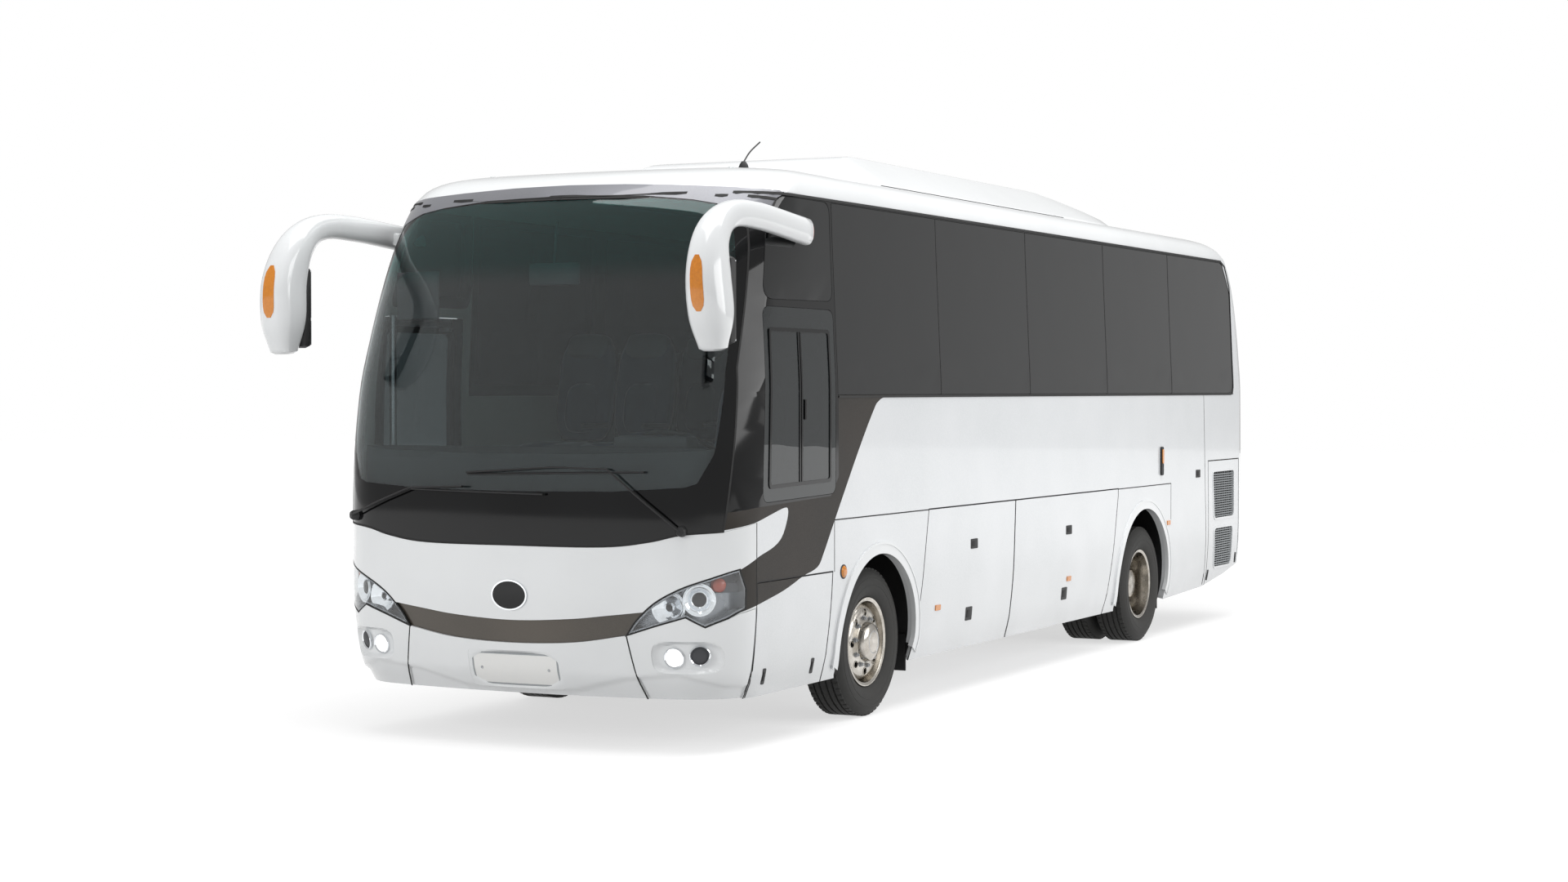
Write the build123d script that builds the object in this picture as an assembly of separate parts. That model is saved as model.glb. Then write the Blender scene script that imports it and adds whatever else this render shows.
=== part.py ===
"""Coach bus, about 9.4 m long, in millimetres.

X points forward, Y to the vehicle's left and Z up. The origin is on the ground below
the middle of the vehicle's box, which reaches from the rear end to the mirrors' noses.
"""
from build123d import *
import math
import os

os.makedirs("parts", exist_ok=True)

# Driving dimensions of the whole vehicle
WHEELBASE = 4830
FRONT_OVERHANG = 2030
REAR_OVERHANG = 2520
BODY_WIDTH = 2500
MIRROR_REACH = 331.5
ROOF_UNIT_TOP = 3360

FRONT_AXLE_X = (WHEELBASE + REAR_OVERHANG - FRONT_OVERHANG - MIRROR_REACH) / 2
REAR_AXLE_X = FRONT_AXLE_X - WHEELBASE
NOSE_X = FRONT_AXLE_X + FRONT_OVERHANG
TAIL_X = REAR_AXLE_X - REAR_OVERHANG
HALF_WIDTH = BODY_WIDTH / 2

# Walls, gaps and seats between pieces
WALL = 50
FLAP = 30
GLASS = 10
SEAT_GAP = 0.3
PANEL_GAP = 4
PLATE = 20

# Plan outline of the body
BOW_RADIUS = 5000
FRONT_CORNER = 360
REAR_CORNER = 180
ROOF_BEND_LOW = 2750
ROOF_BEND_HIGH = 3050

# Body sections: height above ground, setback of the nose, of each side and of the tail
BODY_SECTIONS = [
    (280, 120, 55, 150),
    (430, 45, 22, 60),
    (820, 5, 0, 5),
    (1180, 0, 0, 0),
    (1540, 15, 0, 5),
    (1880, 65, 0, 15),
    (2200, 155, 13, 35),
    (2500, 265, 26, 80),
    (2750, 385, 37, 160),
    (2990, 565, 47, 360),
    (3050, 640, 70, 480),
    (3100, 760, 125, 650),
    (3130, 920, 220, 850),
    (3155, 1190, 450, 1150),
    (3168, 1540, 750, 1550),
]
SKIRT_Z = BODY_SECTIONS[0][0]
ROOF_Z = BODY_SECTIONS[-1][0]

# Levels of the body's lines
ROOF_LINE = 2976
BELT_Z = 1880
GLASS_TOP = 2950
FLAP_TOP = 1180
REAR_FLAP_TOP = 1327
SERVICE_FLAP_TOP = 890
DECK_TOP = 1150
DECK = 50
CAB_FLOOR = 900
DOORSTEP_Z = 380

# Places along the body, ahead of the front axle
SEAM_LOW = 1620
SEAM_HIGH = 1590
DOOR_REAR = 700
DOOR_FRONT = 1575
DOOR_BOTTOM = 330
DOOR_TOP = 2330
SERVICE_FLAP_FRONT = 1580
SERVICE_FLAP_REAR = 680
DECK_FRONT = 620

# Wheels
TYRE_RADIUS = 433.5
TYRE_WIDTH = 262
BEAD_RADIUS = 248
RIM_HALF = 95
FRONT_TRACK_HALF = 1039
REAR_OUTER_HALF = 1059
DUAL_SPACING = 300
AXLE_Z = TYRE_RADIUS

# Wheel arches: centre ahead of its axle and radius
FRONT_ARCH = (40, 525)
REAR_ARCH = (115, 580)

FAR = 6000


def section(height, nose_back, side_in, tail_in, depth):
    """Plan outline at one height, moved inwards by depth."""
    nose = NOSE_X - nose_back - depth
    half = HALF_WIDTH - side_in - depth
    tail = TAIL_X + tail_in + depth
    corner = FRONT_CORNER - depth
    bow = BOW_RADIUS - depth
    rear = REAR_CORNER - depth
    sink = min(max((height - ROOF_BEND_LOW) / (ROOF_BEND_HIGH - ROOF_BEND_LOW), 0), 1)
    z = height - depth * sink
    corner_y = half - corner
    corner_x = nose - bow + math.sqrt((bow - corner) ** 2 - corner_y ** 2)
    meet_y = bow * corner_y / (bow - corner)
    meet_x = nose - bow + math.sqrt(bow ** 2 - meet_y ** 2)
    turn = math.atan2(corner_y, corner_x - nose + bow)
    middle = (turn + math.pi / 2) / 2
    mid_x = corner_x + corner * math.cos(middle)
    mid_y = corner_y + corner * math.sin(middle)
    rear_x = tail + rear
    rear_y = half - rear
    slant = rear * math.sqrt(0.5)
    edges = [
        ThreePointArc((meet_x, -meet_y, z), (nose, 0, z), (meet_x, meet_y, z)),
        ThreePointArc((meet_x, meet_y, z), (mid_x, mid_y, z), (corner_x, half, z)),
        Line((corner_x, half, z), (rear_x, half, z)),
        ThreePointArc((rear_x, half, z), (rear_x - slant, rear_y + slant, z), (tail, rear_y, z)),
        Line((tail, rear_y, z), (tail, -rear_y, z)),
        ThreePointArc((tail, -rear_y, z), (rear_x - slant, -rear_y - slant, z), (rear_x, -half, z)),
        Line((rear_x, -half, z), (corner_x, -half, z)),
        ThreePointArc((corner_x, -half, z), (mid_x, -mid_y, z), (meet_x, -meet_y, z)),
    ]
    return Face(Wire(edges))


def hull(depth, foot=0):
    """The body's closed form, moved inwards by depth and reaching lower by foot."""
    rows = [section(*row, depth) for row in BODY_SECTIONS]
    if foot:
        rows.insert(0, Pos(0, 0, -foot) * section(*BODY_SECTIONS[0], depth))
    return loft(rows, ruled=True)


def block(x, y, z):
    """A box between two places on each axis."""
    size = [abs(span[1] - span[0]) for span in (x, y, z)]
    middle = [(span[0] + span[1]) / 2 for span in (x, y, z)]
    return Pos(*middle) * Box(*size)


def side_prism(points, y_low, y_high):
    """An outline seen from the side, as pairs of x and z, made solid along Y."""
    outline = Wire.make_polygon([(x, y_low, z) for x, z in points])
    return extrude(Face(outline), amount=y_high - y_low, dir=(0, 1, 0))


def front_prism(points, x_low, x_high):
    """An outline seen from the front, as pairs of y and z, made solid along X."""
    outline = Wire.make_polygon([(x_low, y, z) for y, z in points])
    return extrude(Face(outline), amount=x_high - x_low, dir=(1, 0, 0))


def grown(points, gap):
    """The outline with every edge moved outwards by gap."""
    area = sum(a[0] * b[1] - b[0] * a[1] for a, b in zip(points, points[1:] + points[:1]))
    way = 1 if area > 0 else -1
    lines = []
    for a, b in zip(points, points[1:] + points[:1]):
        length = math.dist(a, b)
        nx = way * (b[1] - a[1]) / length
        nz = -way * (b[0] - a[0]) / length
        lines.append((nx, nz, nx * a[0] + nz * a[1] + gap))
    result = []
    for first, second in zip(lines[-1:] + lines[:-1], lines):
        det = first[0] * second[1] - second[0] * first[1]
        x = (first[2] * second[1] - second[2] * first[1]) / det
        z = (first[0] * second[2] - second[0] * first[2]) / det
        result.append((x, z))
    return result


def ahead(points):
    """Side outline given ahead of the front axle, moved to the vehicle's frame."""
    return [(FRONT_AXLE_X + x, z) for x, z in points]


def disc(x, y, z, radius, depth, axis="z"):
    """A cylinder from the named end, along one axis."""
    turns = {"x": (0, 90, 0), "y": (-90, 0, 0), "z": (0, 0, 0)}
    centre = Align.CENTER
    body = Cylinder(radius, depth, align=(centre, centre, Align.MIN))
    return Pos(x, y, z) * Rot(*turns[axis]) * body


def both_sides(shape):
    """The shape and its copy on the other side, as two solids of one node."""
    return [shape, mirror(shape, about=Plane.XZ)]


def save(name, *solids):
    """Write one node, made of one solid or of several that do not touch."""
    pieces = [solid for shape in solids for solid in shape.solids()]
    shape = pieces[0] if len(pieces) == 1 else Compound(children=pieces)
    export_step(shape, f"parts/{name}.step")


# The closed forms that the panels are cut from
outer = hull(0)
cavity = hull(WALL, foot=200)
cavity_seat = hull(WALL + SEAT_GAP, foot=200)
under_glass = hull(GLASS, foot=200)
under_glass_seat = hull(GLASS + SEAT_GAP, foot=200)
under_flap = hull(FLAP, foot=200)
wide = hull(-WALL, foot=200)

# The skirt rises behind the rear wheels
SKIRT_RISE = ahead([
    (-5300, 0), (-5300, 282), (-6260, 313), (-6800, 385),
    (-7150, 450), (-8000, 480), (-8000, 0),
])
skirt_rise = side_prism(SKIRT_RISE, -FAR, FAR)

shell = outer - cavity - skirt_rise
glass_skin = outer - under_glass
flap_skin = outer - under_flap - skirt_rise
glass_rebate = wide - under_glass_seat

# Where the side walls end, seen from the side
REAR_SEAM = ahead([(-7150, 0), (-7150, 1900), (-7070, 2500), (-6900, 2850), (-6780, ROOF_LINE)])
SIDE_FRONT = ahead([
    (1376, ROOF_LINE), (1467, 2674), (1685, 2024), (1809, 1170),
    (SEAM_HIGH, 1211), (SEAM_HIGH, 890), (SEAM_LOW, 0),
])
side_zone = side_prism(REAR_SEAM + SIDE_FRONT, 400, FAR)

# The windscreen's lower edge, seen from the side
SCREEN_FOOT = ahead([(1809, 1170), (1923, 1154), (1965, 1116), (2000, 1086), (2600, 1086)])
SCREEN_TOP = ahead([(2600, ROOF_LINE)])
screen_zone = side_prism(SCREEN_FOOT + SCREEN_TOP + SIDE_FRONT[:3], -FAR, FAR)
roof_zone = block((-FAR, FAR), (-FAR, FAR), (ROOF_LINE, FAR))

# Headlamp outline seen from the front, from its inner tip round the top
HEADLAMP = [
    (680, 626), (740, 708), (841, 800), (973, 872), (1123, 930), (1222, 972),
    (1236, 870), (1234, 763), (1182, 718), (1093, 675), (1004, 727), (837, 677),
]
LAMP_BACK = FRONT_AXLE_X + 1640
headlamp_zone = front_prism(HEADLAMP, LAMP_BACK, NOSE_X + WALL)
headlamp_hole = front_prism(grown(HEADLAMP, PANEL_GAP), LAMP_BACK - PANEL_GAP, NOSE_X + WALL)

# The bumper's upper edge: below the strip, then below the headlamp
BUMPER_TOP = [
    (0, 565), (375, 580), (680, 626), (837, 677),
    (1004, 727), (1093, 675), (1182, 718), (1300, 790),
]
BUMPER_EDGE = [(-y, z) for y, z in BUMPER_TOP[:0:-1]] + BUMPER_TOP
SEAM = ahead([(SEAM_LOW, 0), (SEAM_HIGH, 890), (SEAM_HIGH, 1211), (1809, 1170)])
front_zone = side_prism(SEAM + SCREEN_FOOT[1:] + ahead([(2600, 0)]), -FAR, FAR)
bumper_zone = front_prism([(-1300, 0)] + BUMPER_EDGE + [(1300, 0)], LAMP_BACK - 100, NOSE_X + WALL)

# Front end
FOG_Y = 985
FOG_Z = 515
FOG_HALF = 175
FOG_HEIGHT = 85
FOG_LAMP = 52
FOG_LAMPS = [(925, 508), (1068, 520)]


def oval(y, z, half, radius, x_low, x_high):
    """A slot-shaped prism along X, seen from the front."""
    middle = half - radius
    bar = block((x_low, x_high), (y - middle, y + middle), (z - radius, z + radius))
    ends = [disc(x_low, y + side * middle, z, radius, x_high - x_low, "x") for side in (-1, 1)]
    return bar + ends[0] + ends[1]


front_skin = shell & front_zone
front_skin = front_skin - headlamp_hole - mirror(headlamp_hole, about=Plane.XZ)
fog_pod = oval(FOG_Y, FOG_Z, FOG_HALF, FOG_HEIGHT, FRONT_AXLE_X + 1700, NOSE_X + WALL)
FOG_ROOM = (FRONT_AXLE_X + 1690, NOSE_X + WALL)
fog_hole = oval(FOG_Y, FOG_Z, FOG_HALF + SEAT_GAP, FOG_HEIGHT + SEAT_GAP, *FOG_ROOM)
fog_back = hull(FLAP)

# Plate seat: a flat face in the bumper with two fixing holes
PLATE_HALF = 290
PLATE_LOW = 318
PLATE_HIGH = 522
PLATE_FACE = NOSE_X - 85
PLATE_BACK = PLATE_FACE - 45
PLATE_HOLE = 3.5
PLATE_HOLE_SPACING = 420
PLATE_MID = (PLATE_LOW + PLATE_HIGH) / 2

bumper = (front_skin & bumper_zone) - fog_hole - mirror(fog_hole, about=Plane.XZ)
PLATE_RIM = 10
seat_y = (-PLATE_HALF - PLATE_RIM, PLATE_HALF + PLATE_RIM)
seat_z = (PLATE_LOW - PLATE_RIM, PLATE_HIGH + PLATE_RIM)
bumper = bumper + block((PLATE_BACK, PLATE_FACE), seat_y, seat_z)
bumper = bumper - block((PLATE_FACE, NOSE_X + WALL), (-PLATE_HALF, PLATE_HALF), (PLATE_LOW, PLATE_HIGH))
for side in (-1, 1):
    bumper = bumper - disc(PLATE_BACK - 1, side * PLATE_HOLE_SPACING / 2, PLATE_MID, PLATE_HOLE, 60, "x")
save("front_bumper", bumper)
save("front_panel", front_skin - bumper_zone)

screen = glass_skin & screen_zone
save("windscreen", screen)

headlamp = shell & headlamp_zone
fog_plate = (fog_back - cavity) & fog_pod
fog_unit = fog_plate
for y, z in FOG_LAMPS:
    fog_unit = fog_unit + (disc(FRONT_AXLE_X + 1700, y, z, FOG_LAMP, 400, "x") & (hull(5) - cavity))
save("front_lamps", *both_sides(headlamp), *both_sides(fog_unit))

# Side windows, ahead of the front axle: rear end and front end of each pane
BAND_REAR_TOP = -6760
BAND_REAR_LOW = -6960
PANE_JOINTS = [-5350, -3870, -2344, -850, 610]
PANE_GAP = 6
PILLAR = 60
RIM_BAND = 60
DRIVER_WINDOW = [(640, 1330), (1520, 1310), (1470, 2350), (640, 2350)]
UPPER_PANE = [(640, 2400), (1462, 2390), (1330, 2850), (1190, GLASS_TOP), (640, GLASS_TOP)]

panes = []
openings = []
edges_x = [None] + PANE_JOINTS
for index in range(len(PANE_JOINTS)):
    front = PANE_JOINTS[index] - PANE_GAP / 2
    if index == 0:
        pane = [
            (BAND_REAR_LOW, BELT_Z), (front, BELT_Z), (front, GLASS_TOP),
            (BAND_REAR_TOP, GLASS_TOP), (BAND_REAR_LOW, 2700),
        ]
    else:
        rear = PANE_JOINTS[index - 1] + PANE_GAP / 2
        pane = [(rear, BELT_Z), (front, BELT_Z), (front, GLASS_TOP), (rear, GLASS_TOP)]
    panes.append(ahead(pane))
panes.append(ahead(UPPER_PANE))
driver_pane = ahead(DRIVER_WINDOW)

# Wheel arch openings in both side walls
arches = None
for axle_x, (shift, radius) in ((FRONT_AXLE_X, FRONT_ARCH), (REAR_AXLE_X, REAR_ARCH)):
    cut = disc(axle_x + shift, -FAR, AXLE_Z, radius, 2 * FAR, "y")
    cut = cut + block((axle_x + shift - radius, axle_x + shift + radius), (-FAR, FAR), (0, AXLE_Z))
    arches = cut if arches is None else arches + cut

# Luggage flaps, from the top rear corner round by the front; the rear one's edge starts
# upright, so that its upper corner turns clear of the wall
FLAP_OUTLINES = {
    "front": [(-2080, FLAP_TOP), (-663, FLAP_TOP), (-450, 200), (-2004, 200)],
    "rear": [(-4100, FLAP_TOP), (-2080, FLAP_TOP), (-2004, 200), (-3860, 200), (-4100, 1130)],
}
SERVICE_FLAP = [
    (SERVICE_FLAP_REAR, SERVICE_FLAP_TOP), (SERVICE_FLAP_FRONT, SERVICE_FLAP_TOP),
    (1605, 200), (750, 200),
]
ENGINE_FLAP = [(-7130, REAR_FLAP_TOP), (-6290, REAR_FLAP_TOP), (-6320, 200), (-7130, 200)]
DOOR = [
    (DOOR_REAR, DOOR_BOTTOM), (DOOR_FRONT, DOOR_BOTTOM),
    (DOOR_FRONT - 30, DOOR_TOP), (DOOR_REAR, DOOR_TOP),
]
DOOR_PANES = [
    [(800, 1320), (1470, 1320), (1450, 2240), (800, 2240)],
    [(800, 620), (1480, 620), (1472, 1240), (800, 1240)],
]


def left_cut(points, gap=0):
    """Prism of a side outline through the left wall."""
    return side_prism(grown(ahead(points), gap) if gap else ahead(points), 400, FAR)


def flap_hole(points):
    return left_cut(points, PANEL_GAP / 2)


def hung(points):
    """Outline of a flap: running gaps at its sides and foot, its hinge close under the wall."""
    small = grown(points, -PANEL_GAP / 2)
    top = max(z for _, z in small)
    return [(x, z + PANEL_GAP - SEAT_GAP if z > top - 1 else z) for x, z in small]


def flap_piece(points):
    return flap_skin & side_prism(hung(ahead(points)), 400, FAR)


wall = (shell & side_zone) - roof_zone - arches
for outline in list(FLAP_OUTLINES.values()) + [ENGINE_FLAP]:
    wall = wall - flap_hole(outline)
for pane in panes:
    rebate = glass_rebate & side_prism(grown(pane, PANE_GAP / 2 + 0.01), 400, FAR)
    wall = wall - rebate
    wall = wall - side_prism(grown(pane, -RIM_BAND), 400, FAR)
right_wall = mirror(wall - flap_hole(DOOR), about=Plane.XZ)
driver_rebate = glass_rebate & side_prism(grown(driver_pane, PANE_GAP / 2), 400, FAR)
driver_opening = side_prism(grown(driver_pane, -RIM_BAND), 400, FAR)
left_wall = wall - flap_hole(SERVICE_FLAP) - driver_rebate - driver_opening
save("side_wall_left", left_wall)
save("side_wall_right", right_wall)

glass = [glass_skin & side_prism(grown(pane, -0.5), 400, FAR) for pane in panes]
driver_glass = glass_skin & side_prism(driver_pane, 400, FAR)
right_glass = [mirror(pane, about=Plane.XZ) for pane in glass]
save("side_glass", *glass, *right_glass, driver_glass)

for place, outline in FLAP_OUTLINES.items():
    flap = flap_piece(outline)
    save(f"luggage_flap_left_{place}", flap)
    save(f"luggage_flap_right_{place}", mirror(flap, about=Plane.XZ))
save("service_flap_left", flap_piece(SERVICE_FLAP))

engine_flap = flap_piece(ENGINE_FLAP)
save("engine_flap_left", engine_flap)
save("engine_flap_right", mirror(engine_flap, about=Plane.XZ))

roof = shell & roof_zone
save("roof", roof)

# Rear end
REAR_BUMPER_TOP = 640
ENGINE_DOOR = [(-800, 660), (800, 660), (800, 1600), (-800, 1600)]
REAR_WINDOW = [(-960, 1980), (960, 1980), (900, 2720), (-900, 2720)]
REAR_LAMP = [(985, 800), (1170, 800), (1170, 1520), (1040, 1520), (985, 1400)]
REAR_DEPTH = 700

rear_zone = side_prism(REAR_SEAM + ahead([(-8500, ROOF_LINE), (-8500, 0)]), -FAR, FAR)
rear_skin = shell & rear_zone


def rear_prism(points, gap=0):
    """Prism of an outline on the rear end."""
    return front_prism(grown(points, gap) if gap else points, TAIL_X - WALL, TAIL_X + REAR_DEPTH)


lamp_hole = rear_prism(REAR_LAMP, PANEL_GAP / 2)
lamp_holes = lamp_hole + mirror(lamp_hole, about=Plane.XZ)
rear_panel = rear_skin - rear_prism(ENGINE_DOOR, PANEL_GAP / 2) - lamp_holes
rear_panel = rear_panel - (glass_rebate & rear_prism(REAR_WINDOW, PANE_GAP / 2))
rear_panel = rear_panel - rear_prism(REAR_WINDOW, -RIM_BAND)
below_bumper = block((-FAR, FAR), (-FAR, FAR), (0, REAR_BUMPER_TOP))
save("rear_bumper", rear_panel & below_bumper)
save("rear_panel", rear_panel - below_bumper)
save("rear_window", glass_skin & rear_prism(REAR_WINDOW))
save("engine_door", flap_skin & rear_prism(hung(ENGINE_DOOR)))
save("rear_lamps", *both_sides(shell & rear_prism(REAR_LAMP)))

# Passenger door on the right, hung on a cranked arm
ARM_X = FRONT_AXLE_X + 1470
ARM_Y = -1140
ARM_LENGTH = 550
ARM_RADIUS = 15
POST_RADIUS = 20
POST_LOW = DOORSTEP_Z + SEAT_GAP
POST_HIGH = DOOR_TOP
ARM_LEVELS = [1280, 2285]
HINGE_X = ARM_X - ARM_LENGTH
PIN_RADIUS = 8
EYE_RADIUS = 16
EYE_HEIGHT = 30
LUG_GAP = 1

door = shell & left_cut(DOOR, -PANEL_GAP / 2)
door_glass = []
for pane in DOOR_PANES:
    rebate = glass_rebate & left_cut(pane, RIM_BAND / 2 + PANE_GAP / 2)
    door = door - rebate - left_cut(pane)
    door_glass.append(mirror(glass_skin & left_cut(pane, RIM_BAND / 2), about=Plane.XZ))
door = mirror(door, about=Plane.XZ)
LUG_Y = -HALF_WIDTH + WALL
for level in ARM_LEVELS:
    for side in (-1, 1):
        low = level + side * (EYE_HEIGHT / 2 + LUG_GAP)
        high = low + side * PLATE
        lug_x = (HINGE_X - EYE_RADIUS, HINGE_X + EYE_RADIUS)
        door = door + block(lug_x, (LUG_Y - GLASS, ARM_Y + EYE_RADIUS), (low, high))
    door = door + disc(HINGE_X, ARM_Y, level - EYE_HEIGHT, PIN_RADIUS, 2 * EYE_HEIGHT)
save("passenger_door", door)
save("door_glass", *door_glass)

arm = disc(ARM_X, ARM_Y, POST_LOW, POST_RADIUS, POST_HIGH - POST_LOW)
for level in ARM_LEVELS:
    bar_y = (ARM_Y - ARM_RADIUS, ARM_Y + ARM_RADIUS)
    bar = block((HINGE_X, ARM_X), bar_y, (level - ARM_RADIUS, level + ARM_RADIUS))
    eye = disc(HINGE_X, ARM_Y, level - EYE_HEIGHT / 2, EYE_RADIUS, EYE_HEIGHT)
    arm = arm + bar + eye
for level in ARM_LEVELS:
    arm = arm - disc(HINGE_X, ARM_Y, level - EYE_HEIGHT, PIN_RADIUS + SEAT_GAP, 2 * EYE_HEIGHT)
save("door_arm", arm)

# Roof air conditioner: side outline and cross-section
UNIT_SIDE = ahead([
    (-380, 3100), (-520, 3290), (-760, ROOF_UNIT_TOP),
    (-3900, ROOF_UNIT_TOP), (-4850, 3210), (-4950, 3100),
])
UNIT_CROSS = [
    (-950, 3100), (-950, 3150), (-640, ROOF_UNIT_TOP),
    (640, ROOF_UNIT_TOP), (950, 3150), (950, 3100),
]
unit = side_prism(UNIT_SIDE, -FAR, FAR) & front_prism(UNIT_CROSS, -FAR, FAR)
save("air_conditioner", unit - hull(-SEAT_GAP))

# Mirrors: place behind the mirror's nose, outside the body's half width and up, downward
# slope of the path in degrees, then half height and half width of the section
MIRROR_ROWS = [
    (1311, 14.3, 2765, 0, 75, 50),
    (722, 35, 2812, 0, 72, 48),
    (402, 38, 2800, 20, 74, 52),
    (212, 42, 2690, 50, 100, 80),
    (131.5, 60, 2500, 85, 132, 100),
    (137, 72, 2280, 95, 125, 105),
    (147, 78, 2115, 95, 70, 70),
]


def mirror_section(behind, out, z, tilt, height, width):
    """A rounded outline across the mirror's path, which slopes down by tilt degrees."""
    radius = 0.8 * min(height, width)
    outline = RectangleRounded(2 * height, 2 * width, radius)
    slope = math.radians(tilt)
    plane = Plane(
        origin=(NOSE_X + MIRROR_REACH - behind, HALF_WIDTH + out, z),
        x_dir=(math.sin(slope), 0, math.cos(slope)),
        z_dir=(math.cos(slope), 0, -math.sin(slope)),
    )
    return plane * outline


mirror_arm = loft([mirror_section(*row) for row in MIRROR_ROWS], ruled=True)
save("mirrors", *both_sides(mirror_arm))

# Chassis: rails, drops round the luggage bay, cross members and posts to the deck
RAIL_IN = 400
RAIL_OUT = 480
RAIL_LOW = 560
RAIL_HIGH = 780
BAY_RAIL = 60
BAY_FLOOR = 360
POST = 80
DECK_UNDER = DECK_TOP - DECK
BAY_FRONT = FRONT_AXLE_X - 700
BAY_REAR = FRONT_AXLE_X - 3980
RAIL_FRONT = FRONT_AXLE_X + 1780
RAIL_REAR = TAIL_X + 250
ENGINE_FRONT = FRONT_AXLE_X - 5500
ENGINE_REAR = FRONT_AXLE_X - 6950

chassis_front = (BAY_FRONT + PLATE, RAIL_FRONT - WALL - SEAT_GAP)
chassis_rear = (RAIL_REAR + WALL + SEAT_GAP, BAY_REAR - PLATE)
bay_span = (BAY_REAR - PLATE - POST, BAY_FRONT + PLATE + POST)
POSTS = [FRONT_AXLE_X + 450, bay_span[1] - POST, bay_span[0], ENGINE_FRONT, chassis_rear[0]]
rail_y = (RAIL_IN, RAIL_OUT)
rail = block(chassis_front, rail_y, (RAIL_LOW, RAIL_HIGH))
rail = rail + block(chassis_rear, rail_y, (RAIL_LOW, RAIL_HIGH))
rail = rail + block(bay_span, rail_y, (BAY_FLOOR - BAY_RAIL, BAY_FLOOR - SEAT_GAP))
for post_x in (bay_span[1] - POST, bay_span[0]):
    rail = rail + block((post_x, post_x + POST), rail_y, (BAY_FLOOR - BAY_RAIL, RAIL_HIGH))
for post_x in POSTS:
    rail = rail + block((post_x, post_x + POST), rail_y, (RAIL_HIGH - 1, DECK_UNDER - SEAT_GAP))

# Cross members seated between the rails, and outriggers to the walls
CROSS_LOW = 600
CROSS_HIGH = 740
cross_reach = RAIL_IN - SEAT_GAP
frame_parts = both_sides(rail)
for cross_x in [RAIL_FRONT - WALL - POST - PLATE] + POSTS:
    cross = block((cross_x, cross_x + POST), (-cross_reach, cross_reach), (CROSS_LOW, CROSS_HIGH))
    frame_parts.append(cross)
OUTRIGGERS = [FRONT_AXLE_X + 1640, FRONT_AXLE_X + 605, REAR_AXLE_X - 560]
reach = HALF_WIDTH - WALL - SEAT_GAP
for cross_x in OUTRIGGERS:
    stub = block((cross_x, cross_x + WALL), (RAIL_OUT + SEAT_GAP, reach), (RAIL_LOW, RAIL_LOW + WALL))
    frame_parts = frame_parts + both_sides(stub & cavity_seat)

# Bumper beams on the rails' ends, with towing plates that have a vertical pin hole
BEAM_LOW = 440
TOW_PLATE = 30
TOW_HALF = 80
TOW_HOLE = 20
TOW_REACH = 95
TOW_LOW = 330
for end_x, way in ((RAIL_FRONT, 1), (RAIL_REAR, -1)):
    beam = block((end_x - way * WALL, end_x), (-RAIL_OUT, RAIL_OUT), (BEAM_LOW, RAIL_HIGH))
    tow_y = (-TOW_HALF, TOW_HALF)
    beam = beam + block((end_x - way * WALL, end_x), tow_y, (TOW_LOW, BEAM_LOW + 1))
    plate_x = (end_x - way * WALL, end_x + way * TOW_REACH)
    beam = beam + block(plate_x, tow_y, (TOW_LOW, TOW_LOW + TOW_PLATE))
    hole = disc(end_x + way * TOW_REACH / 2, 0, 0, TOW_HOLE, TOW_LOW + 2 * TOW_PLATE)
    frame_parts.append(beam - hole)
save("chassis_frame", *frame_parts)

# Floor: passenger deck, driver's platform and entrance steps
CAB_FRONT = FRONT_AXLE_X + 1790
CAB_WALK = -300
STEP_RISE = (CAB_FLOOR - DOORSTEP_Z) / 2
STEP_RUNS = [(-FAR, -870), (-870, -580), (-580, CAB_WALK)]
RISER_X = FRONT_AXLE_X + DECK_FRONT
WELL_REAR = FRONT_AXLE_X + DOOR_REAR - PLATE
WELL_FRONT = FRONT_AXLE_X + DOOR_FRONT + PLATE
STEP_PLATE = 30
deck = block((-FAR, FRONT_AXLE_X + DECK_FRONT), (-FAR, FAR), (DECK_UNDER, DECK_TOP))
platform = block((FRONT_AXLE_X + DECK_FRONT, CAB_FRONT), (CAB_WALK, FAR), (CAB_FLOOR - DECK, CAB_FLOOR))
bridge = block((WELL_FRONT, CAB_FRONT), (-FAR, CAB_WALK + 1), (CAB_FLOOR - DECK, CAB_FLOOR))
riser = block((RISER_X, RISER_X + PLATE), (-FAR, FAR), (CAB_FLOOR - DECK, DECK_TOP))
floor = deck + platform + bridge + riser
for index, (y_low, y_high) in enumerate(STEP_RUNS):
    top = DOORSTEP_Z + index * STEP_RISE
    tread_rear = WELL_REAR - 1 if y_high < CAB_WALK else RISER_X
    floor = floor + block((tread_rear, WELL_FRONT + 1), (y_low, y_high), (top - STEP_PLATE, top))
    if y_high < CAB_WALK:
        riser_y = (y_high - STEP_PLATE, y_high)
        floor = floor + block((WELL_REAR - 1, WELL_FRONT + 1), riser_y, (top - STEP_PLATE, top + STEP_RISE))
for x in (WELL_REAR - PLATE, WELL_FRONT):
    floor = floor + block((x, x + PLATE), (-FAR, CAB_WALK), (DOORSTEP_Z - STEP_PLATE, CAB_FLOOR))
RAIL_ROOM = 5
floor = floor - block(
    (WELL_REAR - 2 * PLATE, WELL_FRONT + 2 * PLATE),
    (-RAIL_OUT - RAIL_ROOM, -RAIL_IN + RAIL_ROOM),
    (RAIL_LOW - RAIL_ROOM, RAIL_HIGH + RAIL_ROOM),
)

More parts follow.
